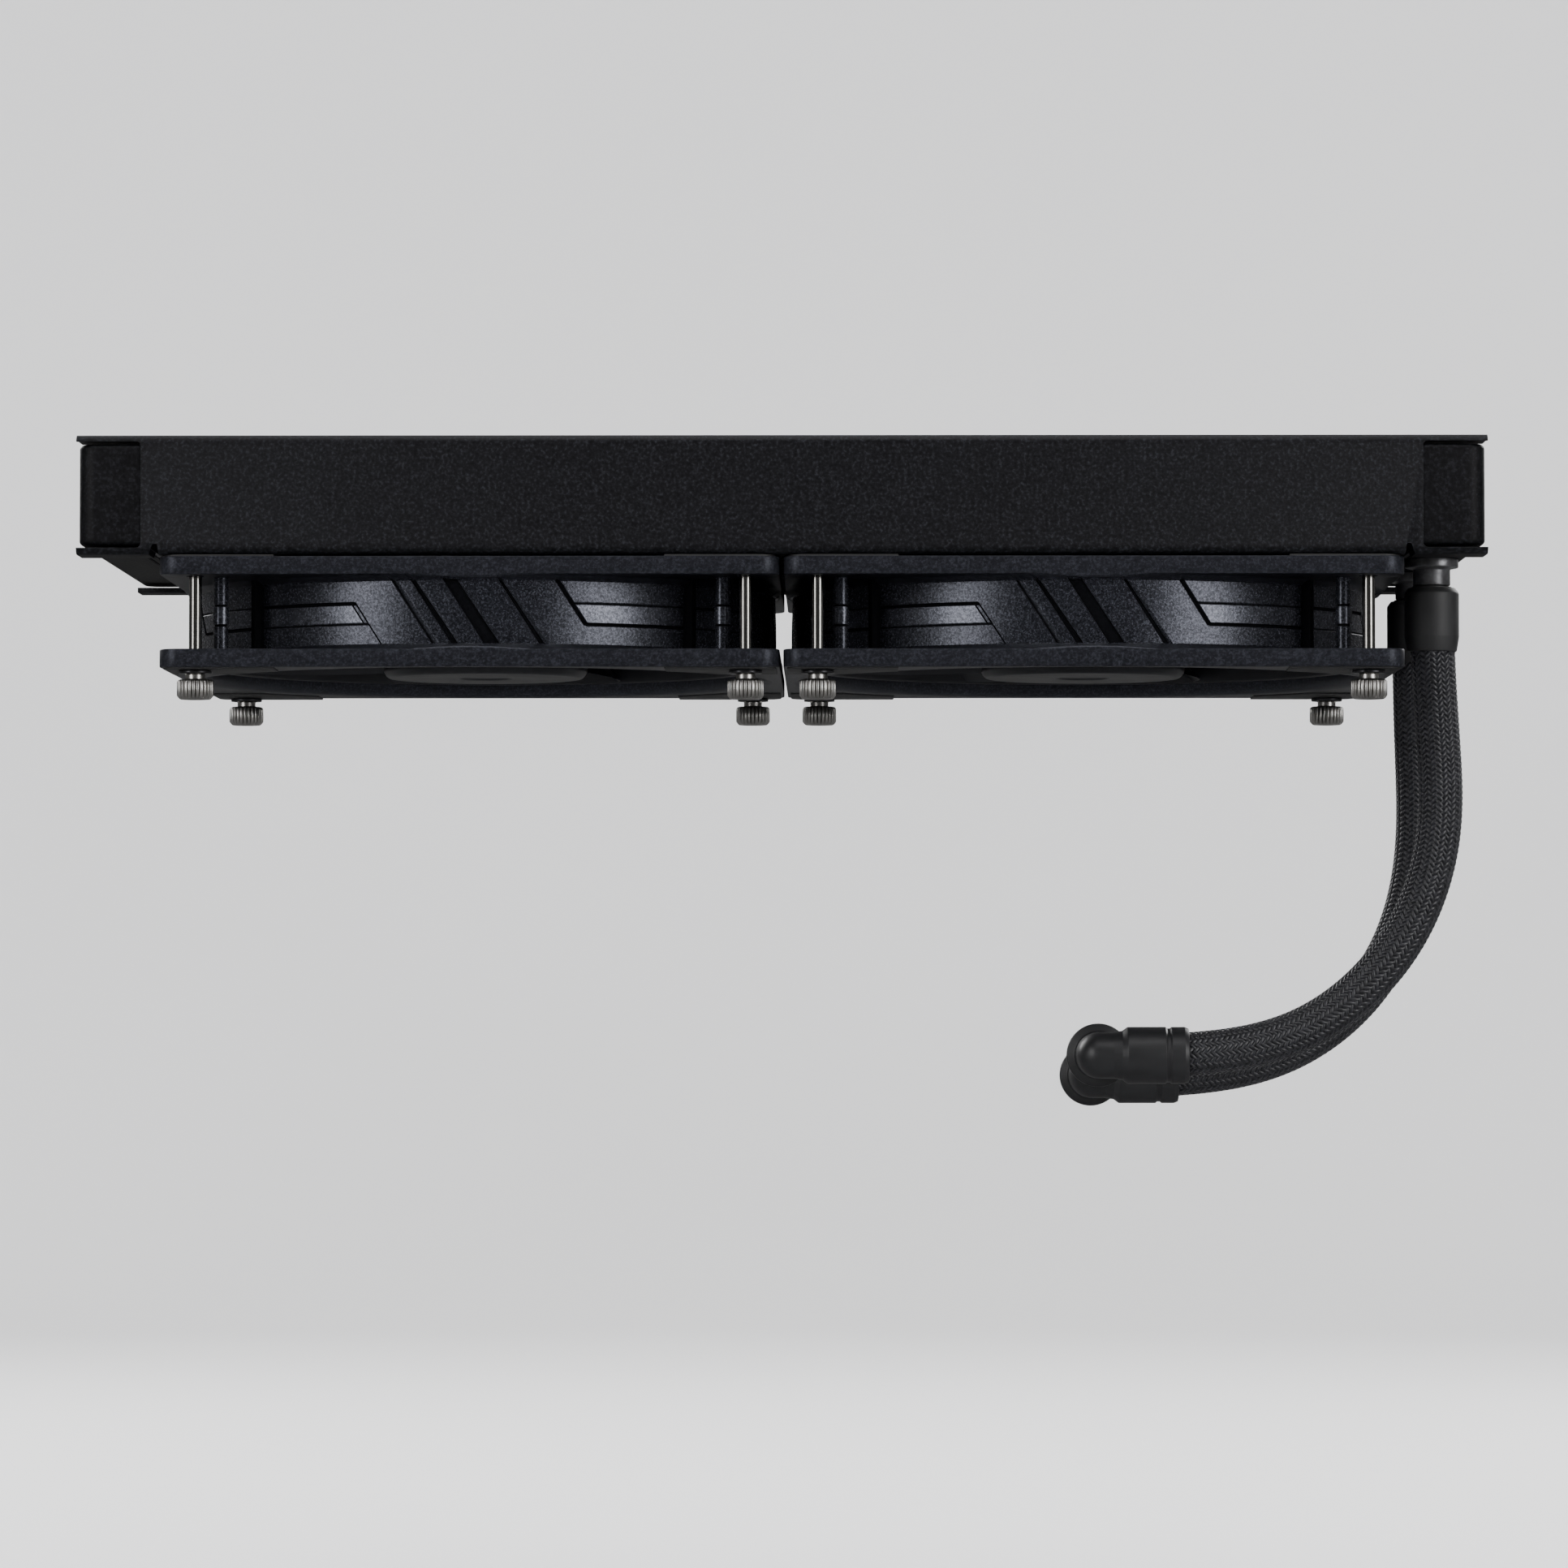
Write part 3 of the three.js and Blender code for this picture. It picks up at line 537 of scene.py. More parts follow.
POWDER_COAT = powder_coat("powder_coat", (0.0045, 0.0047, 0.0058))
# painted shade: the powder coat at a lower tone, for the tanks' faces recessed behind the plates' windows
SHADED_TANK_COAT = powder_coat("shaded_tank_coat", (0.0026, 0.0027, 0.0034))
ERODED = eroded_plastic()
BLADE = satin_plastic("fan_blade_plastic", (0.0062, 0.0064, 0.0078), 0.36, 0.25)
FITTING = satin_plastic("fitting_black", (0.0085, 0.0085, 0.0095), 0.42)
STEEL = bright_steel()
NICKEL = patchy(
    "screw_nickel", (700, 3, 0.6), [(0.3, (0.35, 0.341, 0.326)), (0.68, (0.43, 0.42, 0.403))],
    (0.27, 0.35), ((3500, 2), 0.05, 0.005), Metallic=1.0)
WASHER_BLACK = dark_metal("washer_black", (0.035, 0.035, 0.038), 0.3)
PORT_METAL = dark_metal("port_metal", (0.12, 0.12, 0.125), 0.32)
CORE_METAL = patchy(  # black-coated aluminium, with bare metal glinting through at worn spots
    "core_metal", (260, 4, 0.65),
    [(0.3, (0.013, 0.0135, 0.016)), (0.62, (0.026, 0.027, 0.031)), (0.78, (0.06, 0.061, 0.066))],
    (0.36, 0.58), ((1800, 2), 0.2, 0.03), Metallic=0.55)
RUBBER = patchy(
    "rubber_black", (160, 3), [(0.3, (0.005, 0.005, 0.0056)), (0.7, (0.009, 0.009, 0.01))],
    (0.5, 0.68), ((1900, 3), 0.25, 0.04))
BRAID = patchy(  # polyester yarn made of fine filaments
    "hose_braid", (900, 3, 0.6), [(0.3, (0.003, 0.003, 0.0042)), (0.7, (0.013, 0.013, 0.0165))],
    (0.28, 0.48), ((5200, 2, 0.6), 0.35, 0.03), Sheen_Weight=0.04)
MAGNET = dark_metal("magnet", (0.05, 0.05, 0.052), 0.6)
BRONZE = dark_metal("bearing_bronze", (0.42, 0.28, 0.13), 0.4)
WINDING = winding()
BOARD = board()


# ------------------------------------------------------------------ radiator

SHEET = 1.2
BEND = 2.0  # outer radius
WINDOW_START = 144.4
STRAP = 1.5  # height of the sheet left above and below a window
WINDOW_CORNER = 1.1
PAST_END = 6.0  # how far a window's cutter runs past the sheet's end
RELIEF_X = 141.2
RELIEF = ((1.9, -1), (0.45, 2.4), (-0.5, 2.4), (-0.9, -1))  # bend relief, slanted on its outer side
RELIEF_ROUNDING = (0.0, 0.4, 0.4, 0.0)
SCREW_HOLE = 1.75  # radius
SHEET_EDGE = 0.16


def channel_profile():
    """Outline of the bent channel in the Y-Z plane, front side."""
    face = -HALF_WIDTH
    inner = face + SHEET
    lip = face + FLANGE_DEPTH
    corners = [(lip, TOP), (face, TOP), (face, BOTTOM), (lip, BOTTOM),
               (lip, BOTTOM + SHEET), (inner, BOTTOM + SHEET), (inner, TOP - SHEET), (lip, TOP - SHEET)]
    radii = [0, BEND, BEND, 0, 0, BEND - SHEET, BEND - SHEET, 0]
    return fillet(corners, radii, 8)


def along_x(outline, start, end):
    """Raises a Y-Z outline along X."""
    points, faces = prism(outline, start, end)
    return points[:, [2, 0, 1]], faces


def along_y(outline, start, end):
    """Raises an X-Z outline along Y."""
    points, faces = prism(outline, start, end)
    return points[:, [0, 2, 1]], faces


def side_plate(side, label):
    obj = raw_object(f"side_plate_{label}_form", along_x(channel_profile(), -HALF_LENGTH, HALF_LENGTH))
    face = -HALF_WIDTH
    cutters = []
    for end in (-1, 1):
        near, far = sorted((end * WINDOW_START, end * (HALF_LENGTH + PAST_END)))
        window = rectangle((near, BOTTOM + STRAP), (far, TOP - STRAP), WINDOW_CORNER, 6)
        cutters.append(along_y(window, face - 1, face + 2 * SHEET))
        notch = [(end * (RELIEF_X + x), BOTTOM + z) for x, z in RELIEF]
        outline = fillet(notch[::end], RELIEF_ROUNDING, 4)
        cutters.append(along_y(outline, face - 1, face + FLANGE_DEPTH + 1))
    for x in screw_places():
        hole = circle(SCREW_HOLE, 32, (x, -HALF_HOLES))
        cutters.append(prism(hole, BOTTOM - 1, BOTTOM + SHEET + 1))
        cutters.append(prism(hole, TOP - SHEET - 1, TOP + 1))
    carve(obj, cutters)
    soften(obj, SHEET_EDGE)
    points = placed_points(obj)
    points[:, :2] *= -side  # the rear plate is the front one turned by half a turn
    place_points(obj, points + (0, MIDDLE_Y, 0))
    finished(obj, POWDER_COAT, ROOT, [f"side_plate_{label}"], "powder_coat", 30)


def screw_places():
    return [fan_origin(fan)[0] + side * HALF_HOLES for fan in (1, 2) for side in (-1, 1)]


TANK_ROUNDING = 1.1
TANK_CORNERS = (0.6, 4, 4, 0.6)
SEAM_START, SEAM_END, SEAM_HEIGHT = 1.6, 2.6, 0.22  # from the tank's inner end
BOSS = ((0, -0.06), (7.0, -0.06), (7.6, 0.8))  # raised ring around a hose port, from the underside


def tank(end, label):
    """Rounded tank with a seam bead, made for the +X end and turned for the other."""
    low, high = box_mm(f"end_tank_{label}")
    inner, outer = sorted((abs(low[0]), abs(high[0])))
    bottom, top = low[2], high[2]
    half = (high[1] - low[1]) / 2
    start = inner - TANK_ROUNDING  # under the header plate
    corners = [(start, -half), (outer, -half), (outer, half), (start, half)]
    body = prism(fillet(corners, TANK_CORNERS, 8), bottom, top, TANK_ROUNDING, 6)
    inside = HALF_WIDTH - FLANGE_DEPTH - 2
    bead = rectangle((inner + SEAM_START, -inside), (inner + SEAM_END, inside), 0.45, 3)
    parts = [body, prism(bead, bottom - SEAM_HEIGHT, top + SEAM_HEIGHT, 0.2, 2)]
    if end > 0:
        boss = fillet([(radius, bottom + z) for radius, z in BOSS], 0.3, 3, False)
        for _, hose_label in LABELS:
            x, y, _ = middle_of(f"hose_port_{hose_label}")
            parts.append(lathe(boss, 40, (x, y - MIDDLE_Y, 0)))
    parts = [turned(part, math.pi) if end < 0 else part for part in parts]
    piece(f"end_tank_{label}_form", [moved(part, (0, MIDDLE_Y, 0)) for part in parts],
          SHADED_TANK_COAT, ROOT, [f"end_tank_{label}"], "powder_coat")


def fill_plug():
    """Screwed-in plug with a round socket. Its points are (radius, distance out of the tank)."""
    low, high = box_mm("fill_plug")
    head = (high[1] - low[1]) / 2
    rim = [(2.0, -3.0), (2.0, 0.33), (2.3, 0.42), (head - 0.35, 0.42), (head, 0.2), (head, 0.04),
           (4.0, 0.04), (4.0, -4.6), (3.4, -5.0), (0, -5.0)]
    socket_floor = [(0, -3.0), (2.0, -3.0)]
    plug = turned(joined([lathe(rim, 48), lathe(socket_floor, 48)]), -math.pi / 2, 1)
    place = (box_mm("end_tank_left")[0][0] - 0.02, *middle_of("fill_plug")[1:])
    piece("fill_plug_form", [moved(plug, place)], PORT_METAL, ROOT, ["fill_plug"], "port_metal")


FIN_ROWS = 12
TUBE_THICKNESS, TUBE_BORDER = 2.0, 0.5  # the border is the collar around a tube
TUBE_END = 145.5
COLLAR = (142.9, 143.6)  # along X, the collars that the tubes are brazed into
HEADER = (143.4, 144.7)  # and the header plates


def at_both_ends(outline, near, far):
    """The same Y-Z outline raised between two distances from the middle, on both ends."""
    return [along_x(outline, *sorted((end * near, end * far))) for end in (-1, 1)]


def tube_core():
    """Flat tubes with rounded edges, and the header plates with a collar around each tube."""
    strip_low, strip_high = box_mm("fin_strip_1")
    core_low, core_high = box_mm("tube_core")
    pitch = box_mm("fin_strip_2")[0][1] - strip_low[1]
    half, border = TUBE_THICKNESS / 2, TUBE_BORDER
    parts = []
    for row in range(1, FIN_ROWS):
        y = MIDDLE_Y + (row - FIN_ROWS / 2) * pitch
        section = rectangle((y - half, strip_low[2]), (y + half, strip_high[2]), half * 0.98, 6)
        parts.append(along_x(section, -TUBE_END, TUBE_END))
        collar = rectangle((y - half - border, strip_low[2] - border),
                           (y + half + border, strip_high[2] + border), half + 0.4, 6)
        parts += at_both_ends(collar, *COLLAR)
    plate = rectangle((core_low[1], core_low[2]), (core_high[1], core_high[2]), 0.8, 4)
    parts += at_both_ends(plate, *HEADER)
    piece("tube_core_form", parts, CORE_METAL, ROOT, ["tube_core"], "core_metal")


FIN_PITCH = 1.36  # distance between neighbouring folds, about
FIN_SHEET = 0.11
# One fold: (place along X in half pitches, place across in shares of the reach) from its middle
FOLD = ((-0.72, 0.86), (-0.4, 0.97), (0, 1), (0.4, 0.97), (0.72, 0.86))
UNEVEN_PLACE, UNEVEN_LEAN = 0.05, 0.06
LOUVRE_BANDS = 5
LOUVRE_SHIFT = 0.2
LOUVRE_GAP = 0.18  # height over which one band passes into the next, to either side


def fin_strip(number, seed):
    """A serpentine strip of thin sheet between two tubes, with its folds a little uneven and
    shifted sideways in bands, as louvred fins are."""
    low, high = box_mm(f"fin_strip_{number}")
    centre = (low[1] + high[1]) / 2
    reach = (high[1] - low[1]) / 2 - FIN_SHEET / 2
    folds = int((high[0] - low[0]) / FIN_PITCH)
    wobble = np.random.default_rng(seed)
    starts = low[0] + (high[0] - low[0]) * (np.arange(folds + 1) + 0.5) / (folds + 1)
    starts = starts + wobble.normal(0, UNEVEN_PLACE, folds + 1)
    lean = wobble.normal(0, UNEVEN_LEAN, folds + 1)
    line = []
    for k, x in enumerate(starts):
        side = 1 if k % 2 else -1
        for along, across in FOLD:
            line.append((x + (along * FIN_PITCH / 2 if along else lean[k]), side * reach * across))
    line = np.array(line)
    ahead = np.gradient(line, axis=0)
    normal = np.column_stack([-ahead[:, 1], ahead[:, 0]])
    normal /= np.linalg.norm(normal, axis=1, keepdims=True)
    loop = np.concatenate([line + normal * FIN_SHEET / 2, (line - normal * FIN_SHEET / 2)[::-1]])
    edges = np.linspace(low[2], high[2], LOUVRE_BANDS + 1)
    layers = []
    for band in range(LOUVRE_BANDS):
        shift = LOUVRE_SHIFT * (0.5 if band % 2 else -0.5)
        layers.append((edges[band] + (LOUVRE_GAP if band else 0), shift))
        layers.append((edges[band + 1] - (LOUVRE_GAP if band < LOUVRE_BANDS - 1 else 0), shift))
    straight = np.clip((FOLD[0][1] - np.abs(loop[:, 1]) / reach) * 8 + 1, 0, 1)
    rows = [np.column_stack([loop[:, 0] + shift * straight, loop[:, 1] + centre,
                             np.full(len(loop), z)]) for z, shift in layers]
    count, half = len(loop), len(line)
    faces = grid_faces(len(layers), count)
    last = (len(layers) - 1) * count
    for k in range(half - 1):
        faces.append((k, k + 1, count - 2 - k, count - 1 - k))
        faces.append((last + k, last + count - 1 - k, last + count - 2 - k, last + k + 1))
    piece(f"fin_strip_{number}_form", [(np.concatenate(rows), faces)], CORE_METAL, ROOT,
          [f"fin_strip_{number}"], "core_metal", 40)


# ------------------------------------------------------------------ fan frame

HALF_FAN = 70.0
CORNER = 4.6  # radius of the flanges' corners
FLANGE = 4.1  # height of a flange
EDGE = 0.32  # rounding of the flanges' outer edges
BARREL, BORE = 68.6, 66.0  # radii
BLEND_OUT = 2.5  # the chamfer between flange and barrel: how far out it starts
BLEND_DOWN = 1.3  # and how far down the barrel it ends
LEDGE = 0.35  # height of the step that ends the cuts at the barrel's foot
LINE_ROWS = 0.75  # height over which extra rows of points follow a long line
MOUTH = 0.5  # rounding of the bore's upper end
LIP = 2.4  # rounding of the bore's lower end
SKEW = 0.64  # sideways run of the diagonal lines for each millimetre down
# Diagonal cuts in the barrel: [pattern place, depth] across each, its left wall first, and how
# much further its right edge leans than its left one. The surface between the first two cuts,
# and between the last two, lies a little deeper than the barrel.
CUTS = (
    (((-13.1, 0), (-12.95, 0.7), (-12.7, 0.7), (-12.0, 0.42), (-11.3, 0.22)), 0.02),
    (((-8.7, 0.22), (-8.55, 0.85), (-7.4, 0.85), (-7.25, 0.22), (-6.6, 0)), 0.065),
    (((-1.3, 0), (-1.1, 1.1), (2.1, 1.1), (2.25, 0.5), (2.85, 0.22)), 0.035),
    (((11.2, 0.22), (11.35, 0.8), (12.2, 0.8), (12.35, 0.35), (12.9, 0)), 0.05),
)
BAND_END = 24.5
BAND_TOP, BAND_BOTTOM = 2.1, -2.6
WIDE_LINE = (0.8, 0.6)  # width, depth
FINE_LINE = (0.36, 0.34)
SECOND_LINE_DEPTH = 0.45
WIDE_DIAGONAL = (1.15, 0.6)
PANEL_GAP = 1.0  # between the two lines at the left panel's end
FADE_START, FADE_WIDTH = 27, 13  # where the lean fades out, towards the corners
QUARTER_X = BARREL * math.sin(math.pi / 4)  # pattern place of the fan's corners


def smooth(t):
    return t * t * (3 - 2 * t)


def groove(distance, width):
    """1 in the middle of a groove, 0 at its edges."""
    return smooth(np.clip(1.15 - np.abs(distance) / (width / 2), 0, 1))


def relief(c, z):
    """How far the barrel's surface lies below its radius at pattern place c and height z above its middle.
    """
    depth = np.zeros(np.broadcast(c, z).shape)
    depth = depth + np.interp(c, *zip(*[knot for outline, _ in CUTS for knot in outline]))
    ends = ((-1, BAND_TOP, BAND_BOTTOM, FINE_LINE), (1, BAND_BOTTOM, BAND_TOP, WIDE_DIAGONAL))
    for end, wide_z, fine_z, (diagonal_width, diagonal_depth) in ends:
        beyond = c * end > BAND_END - 0.05
        for line_z, (width, deep) in ((wide_z, WIDE_LINE), (fine_z, FINE_LINE)):
            depth = np.where(beyond, np.maximum(depth, deep * groove(z - line_z, width)), depth)
        diagonal = diagonal_depth * groove(c - end * BAND_END, diagonal_width)
        depth = np.where(z * end > wide_z * end - 0.2, np.maximum(depth, diagonal), depth)
    beside = SECOND_LINE_DEPTH * groove(c + BAND_END + PANEL_GAP, FINE_LINE[0])
    return np.where((z < BAND_TOP) & (z > BAND_BOTTOM), np.maximum(depth, beside), depth)


def lean_at(columns):
    """Sideways run of each column for each millimetre down, from its pattern place."""
    fade = np.clip((np.abs(columns) - FADE_START) / FADE_WIDTH, 0, 1)
    knots = [(-24, 0)]
    for outline, extra in CUTS:
        knots += [(outline[0][0], 0), (outline[-1][0], extra)]
    extra = np.interp(columns, *zip(*knots, (24, 0)))
    return (SKEW + extra) * (1 - smooth(fade))


def refined(base, extra):
    """Sorted samples: the extra ones, and those of the base that aren't close to them."""
    kept = [b for b in base if all(abs(b - e) > 0.2 for e in extra)]
    return np.array(sorted(kept + extra))


def across_line(place, width):
    return [place + width * f for f in (-0.6, -0.42, -0.2, 0, 0.2, 0.42, 0.6)]


def side_columns():
    """Pattern places of the mesh columns across one side of the fan, without the last corner."""
    base = list(np.arange(-42, 42.1, 1.2))
    near_corner = list(np.arange(43, QUARTER_X, 0.3))
    base += near_corner + [-b for b in near_corner] + [-QUARTER_X]
    extra = across_line(-BAND_END, FINE_LINE[0]) + across_line(BAND_END, WIDE_DIAGONAL[0])
    extra += across_line(-BAND_END - PANEL_GAP, FINE_LINE[0])
    for outline, _ in CUTS:
        extra += [outline[0][0] - 0.04] + [place for place, _ in outline] + [outline[-1][0] + 0.04]
    return refined(base, extra)


def square_radius(angle):
    """Distance from the middle to a rounded square's edge, in a direction off a side's normal."""
    angle = np.abs(angle)
    straight = HALF_FAN / np.cos(angle)
    core = HALF_FAN - CORNER
    along = core * (np.cos(angle) + np.sin(angle))
    arc = along + np.sqrt(np.maximum(along**2 - 2 * core**2 + CORNER**2, 0))
    return np.where(np.tan(angle) * HALF_FAN > core, arc, straight)


def flange_under(radius):
    """Depth of a flange's inner face below its outer face, at a radius."""
    share = np.clip(1 - (radius - BARREL) / BLEND_OUT, 0, 1)
    return FLANGE + BLEND_DOWN * share**1.2


def flange_rows(edge_radius, inner_radius):
    """Rows (radius, depth, relief share) over a flange, from its bore outwards and back in to the
    barrel."""
    rim = edge_radius - EDGE
    level = np.zeros_like(rim)
    rows = [(inner_radius + (rim - inner_radius) * t, level, 0) for t in (0, 0.33, 0.66, 1)]
    trim = 0.29 * EDGE  # how far the middle of a rounded edge is cut back along both its sides
    rows += [(edge_radius - trim, level + trim, 0), (edge_radius, level + EDGE, 0)]
    under = flange_under(edge_radius)
    rows += [(edge_radius, under - EDGE, 0), (edge_radius - trim, under - trim, 0)]
    rows.append((rim, flange_under(rim), 0))
    reach = rim - BARREL
    blend = np.minimum(reach * 0.9, BLEND_OUT)
    offsets = [blend + (reach - blend) * t for t in (0.66, 0.33)]
    offsets += [blend * t for t in (1, 0.8, 0.6, 0.42, 0.26, 0.12)]
    for offset in offsets:
        share = np.clip(1 - offset / BLEND_OUT, 0, 1)
        rows.append((BARREL + offset, flange_under(BARREL + offset), share))
    return rows


def frame_shell():
    """The frame's flanges and barrel as one closed grid: columns around the fan, rows around its
    section."""
    columns = side_columns()
    middle = -FAN_HEIGHT / 2
    reach = -middle - FLANGE
    lean = lean_at(columns)

    def angle_at(z):
        x = columns - lean * np.clip(z, -reach, reach)
        return np.arcsin(np.clip(x / BARREL, -1, 1))

    rows = []

    def add(radius, z, share=0):
        z = np.broadcast_to(z, columns.shape)
        rows.append((angle_at(z), radius - relief(columns, z) * share, z))

    edge = square_radius(angle_at(reach))
    for radius, depth, share in flange_rows(edge, BORE + MOUTH):
        add(radius, -middle - depth, share)
    limit = reach - BLEND_DOWN
    base = list(np.linspace(limit, -limit, 13))
    extra = across_line(BAND_TOP, LINE_ROWS) + across_line(BAND_BOTTOM, LINE_ROWS)
    extra.append(LEDGE - limit)
    for z in refined(base, extra)[::-1]:
        add(BARREL, z, 1)
    add(BARREL, -limit)
    edge = square_radius(angle_at(-reach))
    for radius, depth, _ in reversed(flange_rows(edge, BORE + LIP)):
        add(radius, middle + depth)
    for a in np.linspace(0, math.pi / 2, 6)[1:]:
        add(BORE + LIP * (1 - math.sin(a)), middle + LIP * (1 - math.cos(a)))
    for z in np.linspace(middle + LIP + 3, -middle - MOUTH, 5):
        add(BORE, z)
    add(BORE + 0.3 * MOUTH, -middle - 0.3 * MOUTH)

    sides = []
    for quarter in range(4):
        normal = -math.pi / 2 + quarter * math.pi / 2
        sides.append(np.array([
            np.column_stack([radius * np.cos(angle + normal), radius * np.sin(angle + normal), z + middle])
            for angle, radius, z in rows]))
    points = np.concatenate(sides, axis=1)
    return points.reshape(-1, 3), grid_faces(len(rows), points.shape[1], close_rows=True)


POST_AT = 57.0  # from the fan's axis, along X and along Y
POST_RADIUS = 1.7
POST_OVERLAP = 0.5  # how far a post's ends run into the flanges
# (height above the middle, out of the post's surface) along the grooves and the collar
POST_COLLAR = ((2.3, 0), (2.2, -0.35), (1.8, -0.35), (1.7, 0.2), (-2.2, 0.2), (-2.3, -0.35),
               (-2.7, -0.35), (-2.8, 0))


def corner_post(x, y):
    """Round post with a collar between two grooves, which the frame's material paints dark as shade."""
    reach = FAN_HEIGHT / 2 - FLANGE + POST_OVERLAP
    knots = [(reach, -POST_RADIUS), (reach, 0), *POST_COLLAR, (-reach, 0), (-reach, -POST_RADIUS)]
    profile = [(POST_RADIUS + out, z - FAN_HEIGHT / 2) for z, out in knots]
    return lathe(profile, 32, (x, y, 0))


RIB_START, RIB_END, RIB_HALF_WIDTH = BARREL - 0.6, 71.2, 0.8
RIB_OVERLAP = 0.4


def corner_rib(direction):
    """Upright web that ties the barrel to the corner."""
    outline = rectangle((RIB_START, -RIB_HALF_WIDTH), (RIB_END, RIB_HALF_WIDTH), 0.35, 3)
    reach = FAN_HEIGHT / 2 - FLANGE + RIB_OVERLAP
    return turned(prism(outline, -FAN_HEIGHT / 2 - reach, -FAN_HEIGHT / 2 + reach), direction)


MOTOR_RADIUS = 23.0
MOTOR_HEIGHT = 2.6
MOTOR_TOP = -0.02  # below the frame's upper face
STRUT_START, STRUT_END = 80, 100  # directions of its two ends, in degrees
STRUT_WIDE, STRUT_NARROW = 2.3, 1.7  # half its width at the motor and at the barrel
TUBE_INNER, TUBE_OUTER, TUBE_BOTTOM = 4.3, 5.9, -17.5  # the tube that holds the bearing


def strut(degrees):
    """Leaning, tapered strut with rounded edges."""
    start = math.radians(degrees + STRUT_START)
    end = math.radians(degrees + STRUT_END)
    a = np.array([math.cos(start), math.sin(start)]) * (MOTOR_RADIUS - 2)
    b = np.array([math.cos(end), math.sin(end)]) * (BORE + 0.8)
    along = (b - a) / np.linalg.norm(b - a)
    across = np.array([-along[1], along[0]])
    wide, narrow = across * STRUT_WIDE, across * STRUT_NARROW
    return prism([a - wide, b - narrow, b + narrow, a + wide], -MOTOR_HEIGHT, MOTOR_TOP, 0.6, 4)


def motor_mount():
    """Round plate with a shallow recess for a label, and the bearing tube below it."""
    r, recess = MOTOR_RADIUS, MOTOR_RADIUS - 4.5
    plate = fillet([
        (0, -0.45), (recess, -0.45), (recess, MOTOR_TOP), (r, MOTOR_TOP), (r, -MOTOR_HEIGHT),
        (0, -MOTOR_HEIGHT)], [0, 0.2, 0.2, 0.6, 0.5, 0], 4, False)
    top = 0.3 - MOTOR_HEIGHT
    wall = [(TUBE_INNER, top), (TUBE_OUTER, top), (TUBE_OUTER, TUBE_BOTTOM), (TUBE_INNER, TUBE_BOTTOM)]
    return [lathe(plate, 96), lathe(wall, 40, closed=True)]


FRAME_HOLE = 2.15  # radius
CABLE_EXIT = math.radians(99)
NOTCH_BOTTOM = -9.0


def mark_finish(mesh):
    """Vertex values for the frame's material: painted shade in the cuts and lines, in the posts'
    grooves and on the ribs; gloss 0.5 on the barrel and the posts, 1 on the two panels between the
    long lines and on the posts' collars."""
    place = np.array([v.co for v in mesh.vertices]) / MM
    radius = np.hypot(place[:, 0], place[:, 1])
    z = place[:, 2] + FAN_HEIGHT / 2
    reach = FAN_HEIGHT / 2 - FLANGE
    on_barrel = (np.abs(z) < reach - 0.3) & (radius > BORE + 1) & (radius < BARREL + 0.3)
    angle = np.arctan2(place[:, 1], place[:, 0]) + math.pi / 2
    angle = (angle + math.pi / 4) % (math.pi / 2) - math.pi / 4
    on_rib = np.isclose(np.abs(z), reach + RIB_OVERLAP, atol=0.01)
    on_rib &= (radius > RIB_START - 0.5) & (radius < RIB_END + 0.3) & (np.abs(angle) > 0.77)
    x = BARREL * np.sin(angle)
    column = x
    for _ in range(4):
        column = x + lean_at(column) * np.clip(z, -reach, reach)
    in_middle = np.abs(column) < 20  # the deep cuts, with a shallower surface between them
    # painted shade: the deeper a point lies in a cut or line, the darker its colour is painted; the ribs
    # and the posts' grooves are painted fully dark
    start, fade = np.where(in_middle, 0.5, 0.02), np.where(in_middle, 0.2, 0.1)
    painted_shade = np.clip((BARREL - start - radius) / fade, 0, 1) * on_barrel
    inside = (z < BAND_TOP) & (z > BAND_BOTTOM) & on_barrel
    panel = inside & ((column < -BAND_END - PANEL_GAP) | (column > BAND_END))
    gloss = 0.5 * on_barrel + 0.5 * panel
    from_post = np.hypot(np.abs(place[:, 0]) - POST_AT, np.abs(place[:, 1]) - POST_AT) - POST_RADIUS
    on_post = (from_post > -0.4) & (from_post < 0.25) & (np.abs(z) < reach + 0.6)
    painted_shade = np.maximum(painted_shade, on_post & (from_post < -0.3))
    gloss = np.where(on_post, np.where(from_post > 0.1, 1.0, 0.5), gloss)
    for name, values in (("painted_shade", np.maximum(painted_shade, on_rib)), ("gloss", gloss)):
        layer = mesh.attributes.new(name, "FLOAT", "POINT")
        layer.data.foreach_set("value", values.astype(np.float32))


def frame_mesh():
    """The whole frame around the fan's own origin."""
    shell = raw_object("fan_frame", frame_shell())
    corners = [(x, y) for x in (-1, 1) for y in (-1, 1)]
    cutters = [prism(circle(FRAME_HOLE, 32, (x * HALF_HOLES, y * HALF_HOLES)), -FAN_HEIGHT - 1, 1)
               for x, y in corners]
    notch = rectangle((BORE - 2, -3), (BARREL + 3, 5), 0.8, 3)
    cutters.append(turned(prism(notch, NOTCH_BOTTOM, -FLANGE - 0.1), CABLE_EXIT))
    carve(shell, cutters)
    parts = [corner_post(x * POST_AT, y * POST_AT) for x, y in corners]
    parts += [corner_rib(math.pi / 4 + quarter * math.pi / 2) for quarter in range(4)]
    parts += [strut(quarter * 90) for quarter in range(4)]
    parts += motor_mount()
    merge(shell, raw_object("fan_frame_extras", joined(parts)))
    mark_finish(shell.data)
    return shell


INNER_PARTS = {  # CAD nodes that stay as they are, under new materials
    "shaft": STEEL, "rotor_magnet": MAGNET, "bearing": BRONZE, "stator": WINDING,
    "circuit_board": BOARD}


